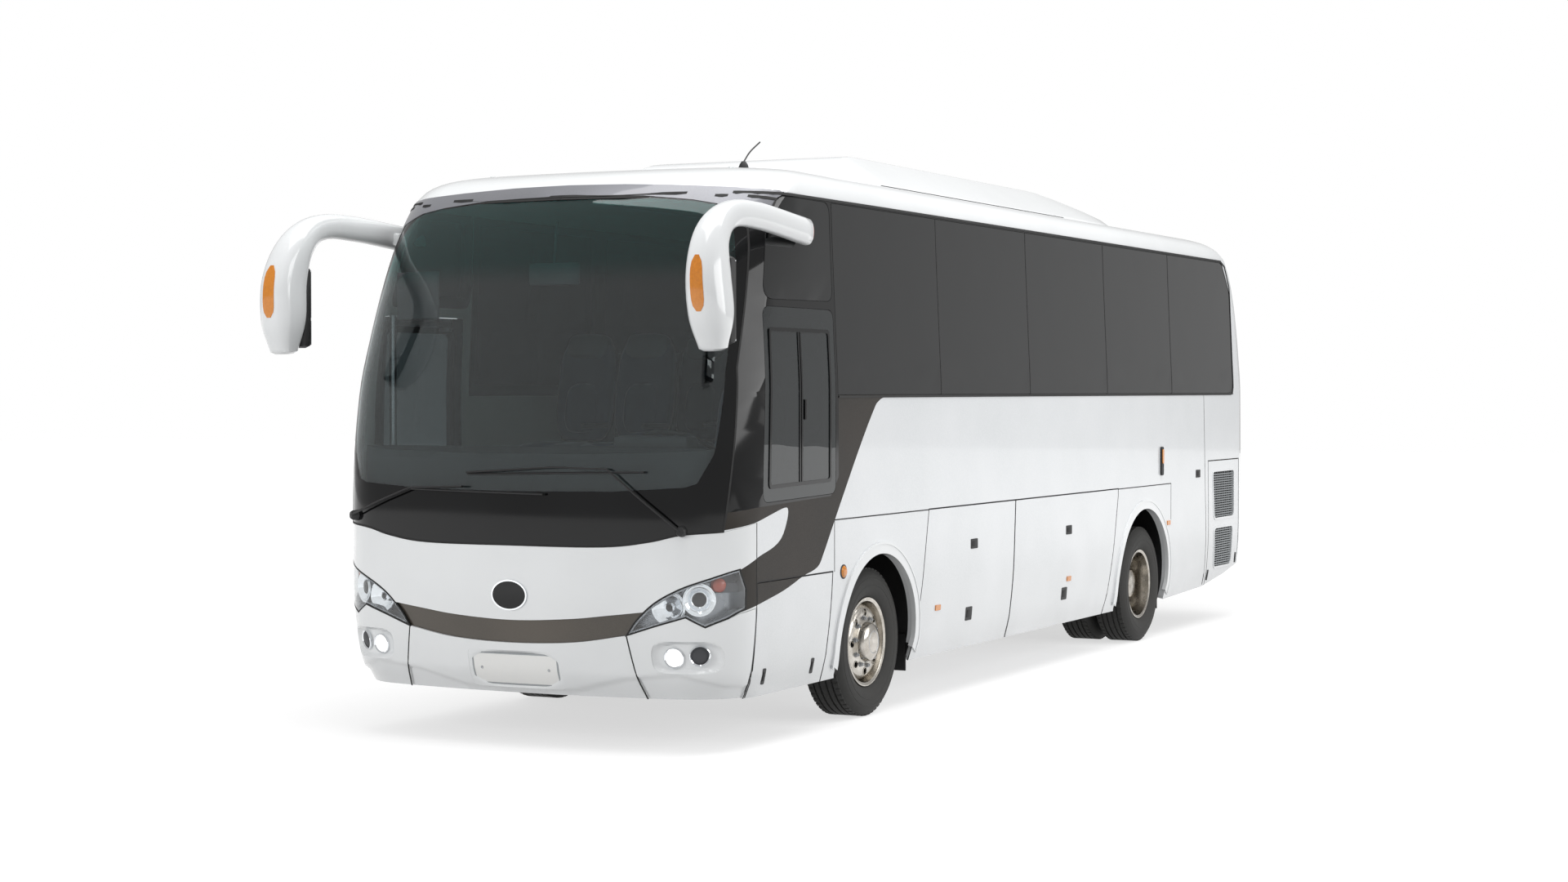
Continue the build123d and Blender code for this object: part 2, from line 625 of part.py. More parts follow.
# Seams that part the floor into plain pieces
for x in (RISER_X, RISER_X + PLATE):
    floor = floor - block((x, x + SEAT_GAP), (-FAR, FAR), (0, DECK_TOP + 1))
for x in (WELL_REAR, WELL_FRONT):
    floor = floor - block((x - SEAT_GAP, x), (-FAR, CAB_WALK), (0, CAB_FLOOR + 1))
well_x = (RISER_X + PLATE, CAB_FRONT)
for y in (-870 - STEP_PLATE, -580 - STEP_PLATE, CAB_WALK):
    floor = floor - block(well_x, (y, y + SEAT_GAP), (0, CAB_FLOOR + 1))
save("floor_deck", floor & cavity_seat)

# Luggage bay between the axles
BAY_HALF = 1140
bay = block((BAY_REAR, BAY_FRONT), (-BAY_HALF, BAY_HALF), (BAY_FLOOR, BAY_FLOOR + PLATE))
for x in (BAY_REAR - PLATE, BAY_FRONT):
    bay = bay + block((x, x + PLATE), (-BAY_HALF, BAY_HALF), (BAY_FLOOR, DECK_UNDER - SEAT_GAP))
for x, way in ((bay_span[0], 1), (bay_span[1] - POST, 1)):
    notch_y = (-RAIL_OUT - SEAT_GAP, RAIL_OUT + SEAT_GAP)
    bay = bay - block((x - SEAT_GAP, x + POST + SEAT_GAP), notch_y, (0, DECK_TOP))
save("luggage_bay", bay)

# Wheel houses with mud flaps: front face, rear face and inner face of each
HOUSE_TOP = 1050
HOUSE_INNER = 580
FLAP_THICK = 10
MUD_LOW = 210
AXLE_SLOT = 190
STEER_ROOM = 560
houses = []
for axle_x, (shift, radius), room_behind in ((FRONT_AXLE_X, FRONT_ARCH, STEER_ROOM), (REAR_AXLE_X, REAR_ARCH, 0)):
    front = axle_x + shift + radius + PLATE
    rear = axle_x - max(radius + PLATE - shift, room_behind)
    reach = HALF_WIDTH
    house = block((rear, front), (HOUSE_INNER, reach), (SKIRT_Z, HOUSE_TOP))
    room = block((rear + PLATE, front - PLATE), (HOUSE_INNER + PLATE, reach + 1), (0, HOUSE_TOP - PLATE))
    slot_x = (axle_x - AXLE_SLOT, axle_x + AXLE_SLOT)
    room = room + block(slot_x, (HOUSE_INNER - 1, reach), (0, AXLE_Z + AXLE_SLOT))
    house = ((house - room) & cavity_seat) - skirt_rise
    mud = block((rear + PLATE, rear + PLATE + FLAP_THICK), (HOUSE_INNER + 200, 1150), (MUD_LOW, AXLE_Z))
    houses = houses + both_sides(house + mud)
save("wheel_houses", *houses)

# Engine with gearbox, one plain block between the rails
ENGINE_HALF = 370
ENGINE_LOW = 420
ENGINE_HIGH = 1040
engine = block((ENGINE_REAR, ENGINE_FRONT - SEAT_GAP), (-ENGINE_HALF, ENGINE_HALF), (ENGINE_LOW, ENGINE_HIGH))
mount_y = RAIL_IN - SEAT_GAP
engine = engine + block((ENGINE_REAR + 200, ENGINE_REAR + 320), (-mount_y, mount_y), (RAIL_LOW + 40, RAIL_HIGH - 40))
save("engine_block", engine)

# Front axle: beam, kingpin bosses and air springs; the knuckles turn on the bosses
KINGPIN_Y = 880
BOSS_RADIUS = 45
BOSS_HALF = 40
EAR_GAP = 5
EAR = 50
KINGPIN = 16
BEAM_HALF = 45
BEAM_Z = (330, 410)
SPRING_Y = 440
SPRING_RADIUS = 110
STUB_HALF = 30
BEAM_REACH = KINGPIN_Y - 110
STUB_IN = KINGPIN_Y - 150
beam_x = (FRONT_AXLE_X - BEAM_HALF, FRONT_AXLE_X + BEAM_HALF)
stub_x = (FRONT_AXLE_X - STUB_HALF, FRONT_AXLE_X + STUB_HALF)
boss_z = (AXLE_Z - BOSS_HALF, AXLE_Z + BOSS_HALF)
spring_height = RAIL_LOW - SEAT_GAP - BEAM_Z[1] + 1
front_beam = block(beam_x, (-BEAM_REACH, BEAM_REACH), BEAM_Z)
for side in (-1, 1):
    front_beam = front_beam + block(stub_x, (side * STUB_IN, side * KINGPIN_Y), boss_z)
    front_beam = front_beam + disc(FRONT_AXLE_X, side * KINGPIN_Y, boss_z[0], BOSS_RADIUS, 2 * BOSS_HALF)
    front_beam = front_beam + disc(FRONT_AXLE_X, side * SPRING_Y, BEAM_Z[1] - 1, SPRING_RADIUS, spring_height)
for side in (-1, 1):
    front_beam = front_beam - disc(FRONT_AXLE_X, side * KINGPIN_Y, 0, KINGPIN + SEAT_GAP, 1000)
save("front_axle", front_beam)

SPINDLE = 30
HUB_OUT = 95
KNUCKLE_PLATE_Y = KINGPIN_Y + BOSS_RADIUS + 8
knuckle_half = BOSS_HALF + EAR_GAP + EAR
knuckle = disc(FRONT_AXLE_X, KINGPIN_Y, AXLE_Z - knuckle_half, KINGPIN, 2 * knuckle_half)
knuckle_x = (FRONT_AXLE_X - BOSS_RADIUS, FRONT_AXLE_X + BOSS_RADIUS)
for low in (AXLE_Z - knuckle_half, AXLE_Z + BOSS_HALF + EAR_GAP):
    knuckle = knuckle + disc(FRONT_AXLE_X, KINGPIN_Y, low, BOSS_RADIUS, EAR)
    knuckle = knuckle + block(knuckle_x, (KINGPIN_Y, KNUCKLE_PLATE_Y + PLATE), (low, low + EAR))
knuckle = knuckle + block(
    knuckle_x,
    (KNUCKLE_PLATE_Y, KNUCKLE_PLATE_Y + PLATE),
    (AXLE_Z - knuckle_half, AXLE_Z + knuckle_half),
)
spindle_length = FRONT_TRACK_HALF + HUB_OUT - KNUCKLE_PLATE_Y
knuckle = knuckle + disc(FRONT_AXLE_X, KNUCKLE_PLATE_Y, AXLE_Z, SPINDLE, spindle_length, "y")
save("knuckle_left", knuckle)
save("knuckle_right", mirror(knuckle, about=Plane.XZ))

# Rear axle: tube, differential, spring beams and air springs
TUBE_RADIUS = 70
TUBE_END = REAR_OUTER_HALF - DUAL_SPACING - TYRE_WIDTH / 2 - 20
REAR_SPINDLE = 45
DIFF_RADIUS = 190
SPRING_OFFSET = 340
REAR_HUB_OUT = 20
rear_axle = disc(REAR_AXLE_X, -TUBE_END, AXLE_Z, TUBE_RADIUS, 2 * TUBE_END, "y")
rear_reach = REAR_OUTER_HALF + REAR_HUB_OUT
rear_axle = rear_axle + disc(REAR_AXLE_X, -rear_reach, AXLE_Z, REAR_SPINDLE, 2 * rear_reach, "y")
rear_axle = rear_axle + Pos(REAR_AXLE_X, 0, AXLE_Z) * Sphere(DIFF_RADIUS)
for side in (-1, 1):
    arm_y = (side * (RAIL_IN - 20), side * RAIL_OUT)
    arm_x = (REAR_AXLE_X - SPRING_OFFSET - 90, REAR_AXLE_X + SPRING_OFFSET + 90)
    rear_axle = rear_axle + block(arm_x, arm_y, (AXLE_Z - 60, AXLE_Z + 20))
    for way in (-1, 1):
        x = REAR_AXLE_X + way * SPRING_OFFSET
        height = RAIL_LOW - SEAT_GAP - AXLE_Z - 19
        rear_axle = rear_axle + disc(x, side * SPRING_Y, AXLE_Z + 19, SPRING_RADIUS - 20, height)
save("rear_axle", rear_axle)


def turned(points):
    """Solid of revolution about a wheel's axis, from pairs of radius and place across."""
    outline = Wire.make_polygon([(radius, across, 0) for radius, across in points])
    return Solid.revolve(Face(outline), 360, Axis.Y)


# Tyre section: radius and place across
TYRE_HALF = TYRE_WIDTH / 2
TYRE = [
    (BEAD_RADIUS, 92), (264, 93), (302, TYRE_HALF - 3), (340, TYRE_HALF),
    (385, TYRE_HALF - 2), (420, 108), (TYRE_RADIUS, 88),
]
tyre = turned(TYRE + [(radius, -across) for radius, across in TYRE[::-1]])

# Wheels: radius and place across, round the barrel and then the disc and hub
BARREL_OUT = BEAD_RADIUS - SEAT_GAP
BARREL_IN = BARREL_OUT - 9
FLANGE = 261
RIM_EDGE = RIM_HALF + 9
HAND_HOLES = 8
HAND_RADIUS = 20
HAND_CIRCLE = 170
HUB_IN = FRONT_TRACK_HALF - KNUCKLE_PLATE_Y - PLATE - 10
REAR_HUB_IN = REAR_OUTER_HALF - TUBE_END - 10
HUB_END = 4


def barrel(middle):
    """Rim barrel round the outside, from the outer flange's edge to the inner one's."""
    half = [(BARREL_IN, RIM_EDGE), (FLANGE, RIM_EDGE), (FLANGE, RIM_HALF), (BARREL_OUT, RIM_HALF)]
    return [(r, middle + y) for r, y in half] + [(r, middle - y) for r, y in half[::-1]]


bore = SPINDLE + SEAT_GAP
rear_bore = REAR_SPINDLE + SEAT_GAP
FRONT_WHEEL = barrel(0) + [
    (BARREL_IN, 2), (205, 40), (180, 62), (80, 60), (80, -HUB_IN), (bore, -HUB_IN),
    (bore, HUB_OUT + HUB_END), (0, HUB_OUT + HUB_END), (0, 150), (90, 148), (112, 132),
    (112, 104), (135, 92), (188, 88), (212, 70), (BARREL_IN, 20),
]
REAR_WHEEL = barrel(0) + [(BARREL_IN, -70), (220, -148), (BARREL_IN, -226)] + barrel(-DUAL_SPACING) + [
    (BARREL_IN, -262), (210, -185), (100, -172), (100, -REAR_HUB_IN), (rear_bore, -REAR_HUB_IN),
    (rear_bore, REAR_HUB_OUT + HUB_END), (0, REAR_HUB_OUT + HUB_END), (0, 46), (96, 42),
    (118, 20), (118, -132), (142, -132), (205, -112), (BARREL_IN, -38),
]
front_wheel = turned(FRONT_WHEEL)
rear_wheel = turned(REAR_WHEEL)
for index in range(HAND_HOLES):
    angle = 2 * math.pi * index / HAND_HOLES
    hole = disc(HAND_CIRCLE * math.cos(angle), -400, HAND_CIRCLE * math.sin(angle), HAND_RADIUS, 800, "y")
    front_wheel = front_wheel - hole
    rear_wheel = rear_wheel - hole
front_place = Pos(FRONT_AXLE_X, FRONT_TRACK_HALF, AXLE_Z)
rear_place = Pos(REAR_AXLE_X, REAR_OUTER_HALF, AXLE_Z)
twin = Pos(0, -DUAL_SPACING, 0)
WHEEL_NODES = {
    "tyre_front": [front_place * tyre],
    "wheel_front": [front_place * front_wheel],
    "tyres_rear": [rear_place * tyre, rear_place * (twin * tyre)],
    "wheels_rear": [rear_place * rear_wheel],
}
for name, solids in WHEEL_NODES.items():
    save(f"{name}_left", *solids)
    save(f"{name}_right", *[mirror(solid, about=Plane.XZ) for solid in solids])

# Dashboard and steering wheel
DASH_FOOT = CAB_FLOOR + SEAT_GAP
DASH = ahead([
    (1560, DASH_FOOT), (1400, 1180), (1420, 1470), (1600, 1560),
    (1760, 1600), (2100, 1540), (2100, DASH_FOOT),
])
DASH_RIGHT = -1100
dash = side_prism(DASH, DASH_RIGHT, HALF_WIDTH) & hull(WALL + 12)
dash = dash - block((0, WELL_FRONT + PLATE), (-FAR, CAB_WALK), (0, FAR))
WHEEL_RING = 225
WHEEL_GRIP = 14
WHEEL_TILT = -32
DRIVER_Y = 620
wheel_place = Pos(FRONT_AXLE_X + 1270, DRIVER_Y, 1560) * Rot(0, WHEEL_TILT, 0)
ring = wheel_place * Torus(WHEEL_RING, WHEEL_GRIP)
for angle in (0, 120, 240):
    spoke = Pos(WHEEL_RING / 2, 0, -10) * Box(WHEEL_RING, 34, 12)
    ring = ring + wheel_place * (Rot(0, 0, angle) * spoke)
COLUMN = 330
column_well = wheel_place * Pos(0, 0, -COLUMN) * Cylinder(40 + SEAT_GAP, COLUMN * 2)
ring = ring + wheel_place * (Pos(0, 0, -COLUMN / 2) * Cylinder(40, COLUMN))
ring = ring + wheel_place * Cylinder(60, 40)
save("dashboard", dash - column_well)
save("steering_wheel", ring)

# Seats: rows of doubles on both sides, a rear bench and the driver's seat
ROW_PITCH = 760
ROW_COUNT = 9
FIRST_ROW = FRONT_AXLE_X + 50
SEAT_DEPTH = 440
CUSHION_LOW = 300
CUSHION_HIGH = 430
SEAT_SPAN = (300, 1150)
LEG_SPAN = (560, 700)
BACK_THICK = 110
LEG_HALF = 90
BACK_TOP = 1080
BACK_LEAN = 120
BENCH_X = TAIL_X + 640


def seat(x, y_span, leg_span, floor_z, back_top=BACK_TOP):
    """Cushion on its pedestal, and the back, whose foot lies behind the cushion."""
    low = floor_z + CUSHION_LOW
    high = floor_z + CUSHION_HIGH
    top = floor_z + back_top
    cushion = block((x - SEAT_DEPTH / 2, x + SEAT_DEPTH / 2), y_span, (low, high))
    leg = block((x - LEG_HALF, x + LEG_HALF), leg_span, (floor_z + SEAT_GAP, low + 1))
    foot = x - SEAT_DEPTH / 2 - SEAT_GAP
    outline = [
        (foot, low), (foot, high), (foot - BACK_LEAN, top),
        (foot - BACK_LEAN - BACK_THICK, top), (foot - BACK_THICK, low),
    ]
    return [cushion + leg, side_prism(outline, *y_span)]


seats = []
for row in range(ROW_COUNT):
    pair = seat(FIRST_ROW - row * ROW_PITCH, SEAT_SPAN, LEG_SPAN, DECK_TOP)
    seats = seats + pair + [mirror(piece, about=Plane.XZ) for piece in pair]
seats = seats + seat(BENCH_X, (-1080, 1080), (-900, 900), DECK_TOP, back_top=1000)
seats = seats + seat(FRONT_AXLE_X + 830, (380, 860), (520, 720), CAB_FLOOR)
save("seats", *seats)
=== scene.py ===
"""Looks of the coach bus, in metres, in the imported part's own frame.

X points forward, Y to the vehicle's left and Z up. Places along the body are given
ahead of the front axle, as on a coachbuilder's drawing, and moved by AXLE_X.
"""
import math

import bmesh
import bpy
import numpy as np
from mathutils import Matrix, Vector
from mathutils.geometry import delaunay_2d_cdt


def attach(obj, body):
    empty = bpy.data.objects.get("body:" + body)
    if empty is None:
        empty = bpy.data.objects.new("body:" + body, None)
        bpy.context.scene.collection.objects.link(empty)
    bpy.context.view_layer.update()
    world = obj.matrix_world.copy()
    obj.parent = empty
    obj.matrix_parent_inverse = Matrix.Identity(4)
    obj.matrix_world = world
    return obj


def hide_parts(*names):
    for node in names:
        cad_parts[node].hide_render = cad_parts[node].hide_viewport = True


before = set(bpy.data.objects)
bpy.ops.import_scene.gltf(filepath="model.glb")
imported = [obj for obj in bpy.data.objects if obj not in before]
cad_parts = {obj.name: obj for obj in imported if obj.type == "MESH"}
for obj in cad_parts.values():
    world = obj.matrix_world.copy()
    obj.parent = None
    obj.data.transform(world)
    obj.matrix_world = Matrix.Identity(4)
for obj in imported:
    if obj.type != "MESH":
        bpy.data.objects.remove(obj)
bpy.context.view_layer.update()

# Driving sizes, the same as the solids have
AXLE_X = 2.49425
WHEELBASE = 4.830
FRONT_OVERHANG, REAR_OVERHANG = 2.030, 2.520
REAR_AXLE = AXLE_X - WHEELBASE
NOSE = AXLE_X + FRONT_OVERHANG
TAIL = REAR_AXLE - REAR_OVERHANG
HALF = 1.250
BOW = 5.000
FRONT_CORNER = 0.360
REAR_CORNER = 0.180
AXLE_Z = 0.4335
BELT = 1.880
GLASS_TOP = 2.950
ROOF_LINE = 2.976
GLASS = 0.010
GAP = 0.004
HALF_GAP = 0.002
JOINT = 0.003
BEHIND_GLASS = -0.0115
BODY_WALL = 0.045
FLAP_WALL = 0.016
MIRROR_FRONT = NOSE + 0.3235
DECK, CAB = 1.150, 0.900
REAR_DECK = DECK - 0.02
DRIVER_Y = 0.620
SEAT_ROWS, SEAT_PITCH = 9, 0.760

# Half a step along the skin over which its normals are measured
NORMAL_STEP = 1e-4

# Body sections: height, then setback of the nose, of each side and of the tail
SECTIONS = np.array([
    (0.280, 0.120, 0.055, 0.150),
    (0.430, 0.045, 0.022, 0.060),
    (0.820, 0.005, 0.000, 0.005),
    (1.180, 0.000, 0.000, 0.000),
    (1.540, 0.015, 0.000, 0.005),
    (1.880, 0.065, 0.000, 0.015),
    (2.200, 0.155, 0.013, 0.035),
    (2.500, 0.265, 0.026, 0.080),
    (2.750, 0.385, 0.037, 0.160),
    (2.990, 0.565, 0.047, 0.360),
    (3.050, 0.640, 0.070, 0.480),
    (3.100, 0.760, 0.125, 0.650),
    (3.130, 0.920, 0.220, 0.850),
    (3.155, 1.190, 0.450, 1.150),
    (3.168, 1.540, 0.750, 1.550),
])


# Camera and light, at the photograph's own viewing angle

CAMERA_PLACE = Vector((AXLE_X + 13.2574, 7.3544, 1.9094))
CAMERA_FORWARD = Vector((-0.9085, -0.4172, -0.0206))
FOCAL_MM, FILM_MM = 57.58, 36
SHIFT_PIXELS, FRAME_PIXELS = -125, 1920


def added(name, data):
    """A new object in the scene."""
    made = bpy.data.objects.new(name, data)
    bpy.context.scene.collection.objects.link(made)
    return made


def aimed(holder, place, direction):
    """Stands a camera or a lamp at a place, looking along a direction."""
    holder.location = place
    holder.rotation_mode = "QUATERNION"
    holder.rotation_quaternion = direction.to_track_quat("-Z", "Y")


camera = added("camera", bpy.data.cameras.new("camera"))
camera.data.lens = FOCAL_MM
camera.data.sensor_width = FILM_MM
camera.data.shift_x = SHIFT_PIXELS / FRAME_PIXELS
camera.data.clip_end = 200
aimed(camera, CAMERA_PLACE, CAMERA_FORWARD)
bpy.context.scene.camera = camera
bpy.context.scene.view_settings.view_transform = "Standard"


def lamp(name, place, target, size, watts, mirrored=True):
    """A soft rectangular studio lamp that points at a target; the glass may mirror it or not."""
    light = bpy.data.lights.new(name, "AREA")
    light.shape = "RECTANGLE"
    light.size, light.size_y = size
    light.energy = watts
    holder = added(name, light)
    holder.visible_glossy = holder.visible_transmission = mirrored
    aimed(holder, place, Vector(target) - Vector(place))


lamp("lamp_over", (1, 2, 9), (0, 0, 1.5), (12, 7), 780)
lamp("lamp_left", (-1, 12, 4.5), (-1, 0, 1.5), (11, 5), 540)
lamp("lamp_front", (14, -3, 4), (3, 0, 1.5), (7, 4), 420, mirrored=False)


# Materials

# Slow drift of every finish, in waves a metre, and the film of road dirt low on the body
DRIFT_SCALE = 1.7
FILM_TOP, FILM_FOOT, ROAD_FILM = 1.1, 0.25, "#8d877c"


def linear(code):
    """An sRGB hex colour as the linear colour that a shader takes."""
    values = [int(code[i:i + 2], 16) / 255 for i in (1, 3, 5)]
    return (*[v / 12.92 if v <= 0.04045 else ((v + 0.055) / 1.055) ** 2.4 for v in values], 1.0)


def plain_material(name):
    """A new material, its node tree and its shader."""
    material = bpy.data.materials.new(name)
    material.use_nodes = True
    return material, material.node_tree, material.node_tree.nodes["Principled BSDF"]


def node(tree, kind, inputs=None, **settings):
    """Adds a node: its settings, then for each input a value or the socket that feeds it."""
    made = tree.nodes.new(kind)
    for name, value in settings.items():
        setattr(made, name, value)
    for key, value in (inputs or {}).items():
        if isinstance(value, bpy.types.NodeSocket):
            tree.links.new(value, made.inputs[key])
        else:
            made.inputs[key].default_value = value
    return made


def finish(name, light, dark, grain_mm, roughness, bump_mm, soften, dust=0.0, **shader):
    """A procedural finish on Object coordinates.

    The colour drifts between light and dark with a noise of grain_mm, the gloss follows it
    by soften, bump_mm is the height of the surface's own texture, and dust is the share of
    road film low on the body. The rest are constants of the shader's own sockets.
    """
    material, tree, base = plain_material(name)
    place = node(tree, "ShaderNodeTexCoord").outputs["Object"]
    grain = node(tree, "ShaderNodeTexNoise", {"Vector": place, "Scale": 1000 / grain_mm, "Detail": 3.0})
    drift = node(tree, "ShaderNodeTexNoise", {"Vector": place, "Scale": DRIFT_SCALE, "Detail": 2.0})
    blend = node(
        tree, "ShaderNodeMath", {0: grain.outputs["Fac"], 1: drift.outputs["Fac"]},
        operation="MULTIPLY",
    )
    share = node(
        tree, "ShaderNodeMapRange", {"Value": blend.outputs[0], "From Min": 0.12, "From Max": 0.42},
    )
    colour = node(
        tree, "ShaderNodeMix", {0: share.outputs[0], 6: linear(light), 7: linear(dark)},
        data_type="RGBA",
    )
    shown = colour.outputs[2]
    if dust:
        height = node(tree, "ShaderNodeSeparateXYZ", {"Vector": place}).outputs["Z"]
        low = node(tree, "ShaderNodeMapRange", {
            "Value": height, "From Min": FILM_TOP, "From Max": FILM_FOOT, "To Max": dust,
        })
        film = node(
            tree, "ShaderNodeMath", {0: low.outputs[0], 1: drift.outputs["Fac"]}, operation="MULTIPLY",
        )
        soiled = node(
            tree, "ShaderNodeMix", {0: film.outputs[0], 6: shown, 7: linear(ROAD_FILM)},
            data_type="RGBA",
        )
        shown = soiled.outputs[2]
    tree.links.new(shown, base.inputs["Base Color"])
    gloss = node(tree, "ShaderNodeMapRange", {
        "Value": grain.outputs["Fac"], "From Min": 0.3, "From Max": 0.7,
        "To Min": roughness, "To Max": roughness + soften,
    })
    tree.links.new(gloss.outputs[0], base.inputs["Roughness"])
    if bump_mm:
        relief = node(
            tree, "ShaderNodeBump",
            {"Height": grain.outputs["Fac"], "Distance": bump_mm / 1000, "Strength": 1.0},
        )
        tree.links.new(relief.outputs[0], base.inputs["Normal"])
    for socket, value in shader.items():
        base.inputs[socket.replace("_", " ")].default_value = value
    return material


# Gel coat on glass-fibre mouldings: deep wet gloss with the faint waves of the mould
gel_coat = finish(
    "gel_coat_white", "#e6e8e9", "#dfe1e2", 900, 0.12, 0.0, 0.04, Coat_Weight=0.6, Coat_Roughness=0.03,
)
# Two-pack enamel sprayed on steel and aluminium panels: orange peel and a road film low down
enamel = finish(
    "enamel_white", "#e2e4e6", "#d9dcde", 7, 0.16, 0.02, 0.05, dust=0.22, Coat_Weight=0.5,
    Coat_Roughness=0.04,
)
# Metallic basecoat under lacquer: brown-grey with a fine sparkle that darkens as it turns away
umber = finish(
    "metallic_basecoat_umber", "#2c2620", "#1d1a16", 3, 0.42, 0.0, 0.12, Coat_Weight=0.06,
    Coat_Roughness=0.1, Specular_IOR_Level=0.25,
)
# The same colour in satin on the strip between the headlamps, made lighter than the swoosh's umber: the
# lift is a painted reflection of the sky the strip catches
strip_umber_painted_reflection = finish(
    "metallic_basecoat_strip_painted_reflection", "#4b443b", "#38332c", 3, 0.30, 0.0, 0.12, Metallic=0.35, Coat_Weight=0.6,
    Coat_Roughness=0.04,
)
# The same lacquer over a lighter grey, on the band above the windscreen
band_grey = finish(
    "metallic_basecoat_grey", "#85868c", "#75767b", 3, 0.30, 0.0, 0.1, Metallic=0.45, Coat_Weight=0.8,
    Coat_Roughness=0.04,
)
# Ceramic frit baked on glass and the painted window surrounds: black with a glass gloss
frit = finish("ceramic_frit_black", "#0a0a0b", "#0f1011", 400, 0.06, 0.0, 0.02, Specular_IOR_Level=0.35)
# EPDM rubber profiles: extruded, slightly waxy black
rubber = finish("epdm_rubber", "#121212", "#1c1c1c", 6, 0.62, 0.05, 0.12)
# Tyre rubber: grey with road dust, dull on the tread and the walls
tyre_rubber = finish("tyre_rubber", "#2c2c2b", "#3a3937", 18, 0.72, 0.15, 0.12)
# Moulded ABS with a spark-eroded grain
abs_black = finish("abs_black_grained", "#161617", "#1f1f20", 1.6, 0.48, 0.06, 0.12)
abs_grey = finish("abs_grey_grained", "#3c3d40", "#46474a", 1.6, 0.52, 0.06, 0.12)
# Chassis paint: brushed-on matt black with a little dust on it
chassis_paint = finish("chassis_paint_black", "#1b1b1b", "#2b2926", 60, 0.62, 0.08, 0.15)
# Polished steel wheels: warm, bright and faintly clouded by brake dust
wheel_steel = finish("polished_steel", "#c9c5be", "#a39d94", 45, 0.17, 0.0, 0.14, Metallic=1.0)
# Zinc-plated steel of nuts, latches and hinges
zinc = finish("zinc_plated_steel", "#b4b6b8", "#94979b", 9, 0.32, 0.02, 0.14, Metallic=1.0)
# Vacuum-metallised plastic inside the lamps: almost a mirror
reflector = finish("metallised_reflector", "#eceef0", "#dde0e4", 300, 0.07, 0.0, 0.04, Metallic=1.0)
# Metallised plastic with a darker lacquer, round the reflectors
lamp_grey = finish("metallised_grey", "#8d9094", "#7c7f84", 200, 0.24, 0.0, 0.06, Metallic=0.9)
# Painted cast iron of the engine
cast_iron = finish("painted_cast_iron", "#4d5654", "#3b4341", 12, 0.55, 0.3, 0.15)
# Mill-finish aluminium sheet in the luggage bay, scuffed by cases
bay_sheet = finish("mill_finish_aluminium", "#a5a8ab", "#86898c", 30, 0.38, 0.03, 0.2, Metallic=0.9)
# Homogeneous vinyl floor with a speckle
vinyl = finish("vinyl_flooring", "#4b4c50", "#5d5e62", 4, 0.55, 0.04, 0.12)
# Needle-felt lining glued to the inside of walls and roof
lining = finish("needle_felt_lining", "#b9b8b3", "#a8a7a2", 3, 0.92, 0.2, 0.05, Sheen_Weight=0.3)
# Anodised aluminium slats and mesh
anodised = finish("anodised_aluminium", "#9a9ea0", "#878b8e", 5, 0.36, 0.01, 0.1, Metallic=0.85)
# Acrylic lenses, tinted in the mass
amber = finish("acrylic_amber", "#d9861c", "#c67512", 12, 0.10, 0.0, 0.05, Coat_Weight=0.5)
signal_red = finish("acrylic_red", "#9c1410", "#7d0d0b", 12, 0.10, 0.0, 0.05, Coat_Weight=0.5)
orange_red = finish("acrylic_orange_red", "#bb4520", "#a83a18", 12, 0.12, 0.0, 0.05, Coat_Weight=0.5)
# Retroreflective sheeting of the blank plates
plate_sheet = finish("retroreflective_sheet", "#eeeeec", "#e6e6e4", 2, 0.42, 0.02, 0.1)
# Silvered mirror glass
mirror_glass = finish("silvered_glass", "#dfe3e4", "#d8dcdd", 500, 0.02, 0.0, 0.01, Metallic=1.0)
# Woven moquette on the seats: short pile with a soft sheen, blue-grey
moquette = finish("moquette_blue_grey", "#2f3a52", "#222b40", 5, 0.9, 0.35, 0.05, Sheen_Weight=0.5)
# Coated fabric on the headrests, embossed like leather
headrest_cover = finish("coated_fabric", "#50535a", "#44474d", 3, 0.5, 0.15, 0.1)


def glass_finish(name, clear, top, blend_from, blend_to, weight):
    """Sheet glass whose tint changes with height, between two levels above the ground."""
    material, tree, base = plain_material(name)
    place = node(tree, "ShaderNodeTexCoord").outputs["Object"]
    height = node(tree, "ShaderNodeSeparateXYZ", {"Vector": place}).outputs["Z"]
    share = node(
        tree, "ShaderNodeMapRange", {"Value": height, "From Min": blend_from, "From Max": blend_to},
        interpolation_type="SMOOTHSTEP",
    )
    ripple = node(tree, "ShaderNodeTexNoise", {"Vector": place, "Scale": 2.2, "Detail": 1.0})
    colour = node(
        tree, "ShaderNodeMix", {0: share.outputs[0], 6: linear(clear), 7: linear(top)},
        data_type="RGBA",
    )
    tree.links.new(colour.outputs[2], base.inputs["Base Color"])
    relief = node(
        tree, "ShaderNodeBump", {"Height": ripple.outputs["Fac"], "Distance": 0.002, "Strength": 0.5},
    )
    tree.links.new(relief.outputs[0], base.inputs["Normal"])
    base.inputs["Transmission Weight"].default_value = weight
    base.inputs["Roughness"].default_value = 0.0
    base.inputs["IOR"].default_value = 1.5
    return material


# Laminated windscreen: green-grey, with a teal sun band at the top and slow roller waves
screen_glass = glass_finish("laminated_glass", "#c4cfd0", "#5fa5a1", 2.46, 2.62, 1.0)
# Privacy glass: nearly black from outside, dark grey from inside
privacy_glass = glass_finish("privacy_glass", "#17191a", "#131516", 1.9, 2.9, 0.30)
# Toughened clear glass beside the driver
driver_glass = glass_finish("toughened_glass", "#4c5355", "#434a4c", 1.3, 2.4, 0.8)
# Polycarbonate lamp covers
lens_clear = glass_finish("polycarbonate_clear", "#f4f6f7", "#f4f6f7", 0.5, 1.0, 1.0)

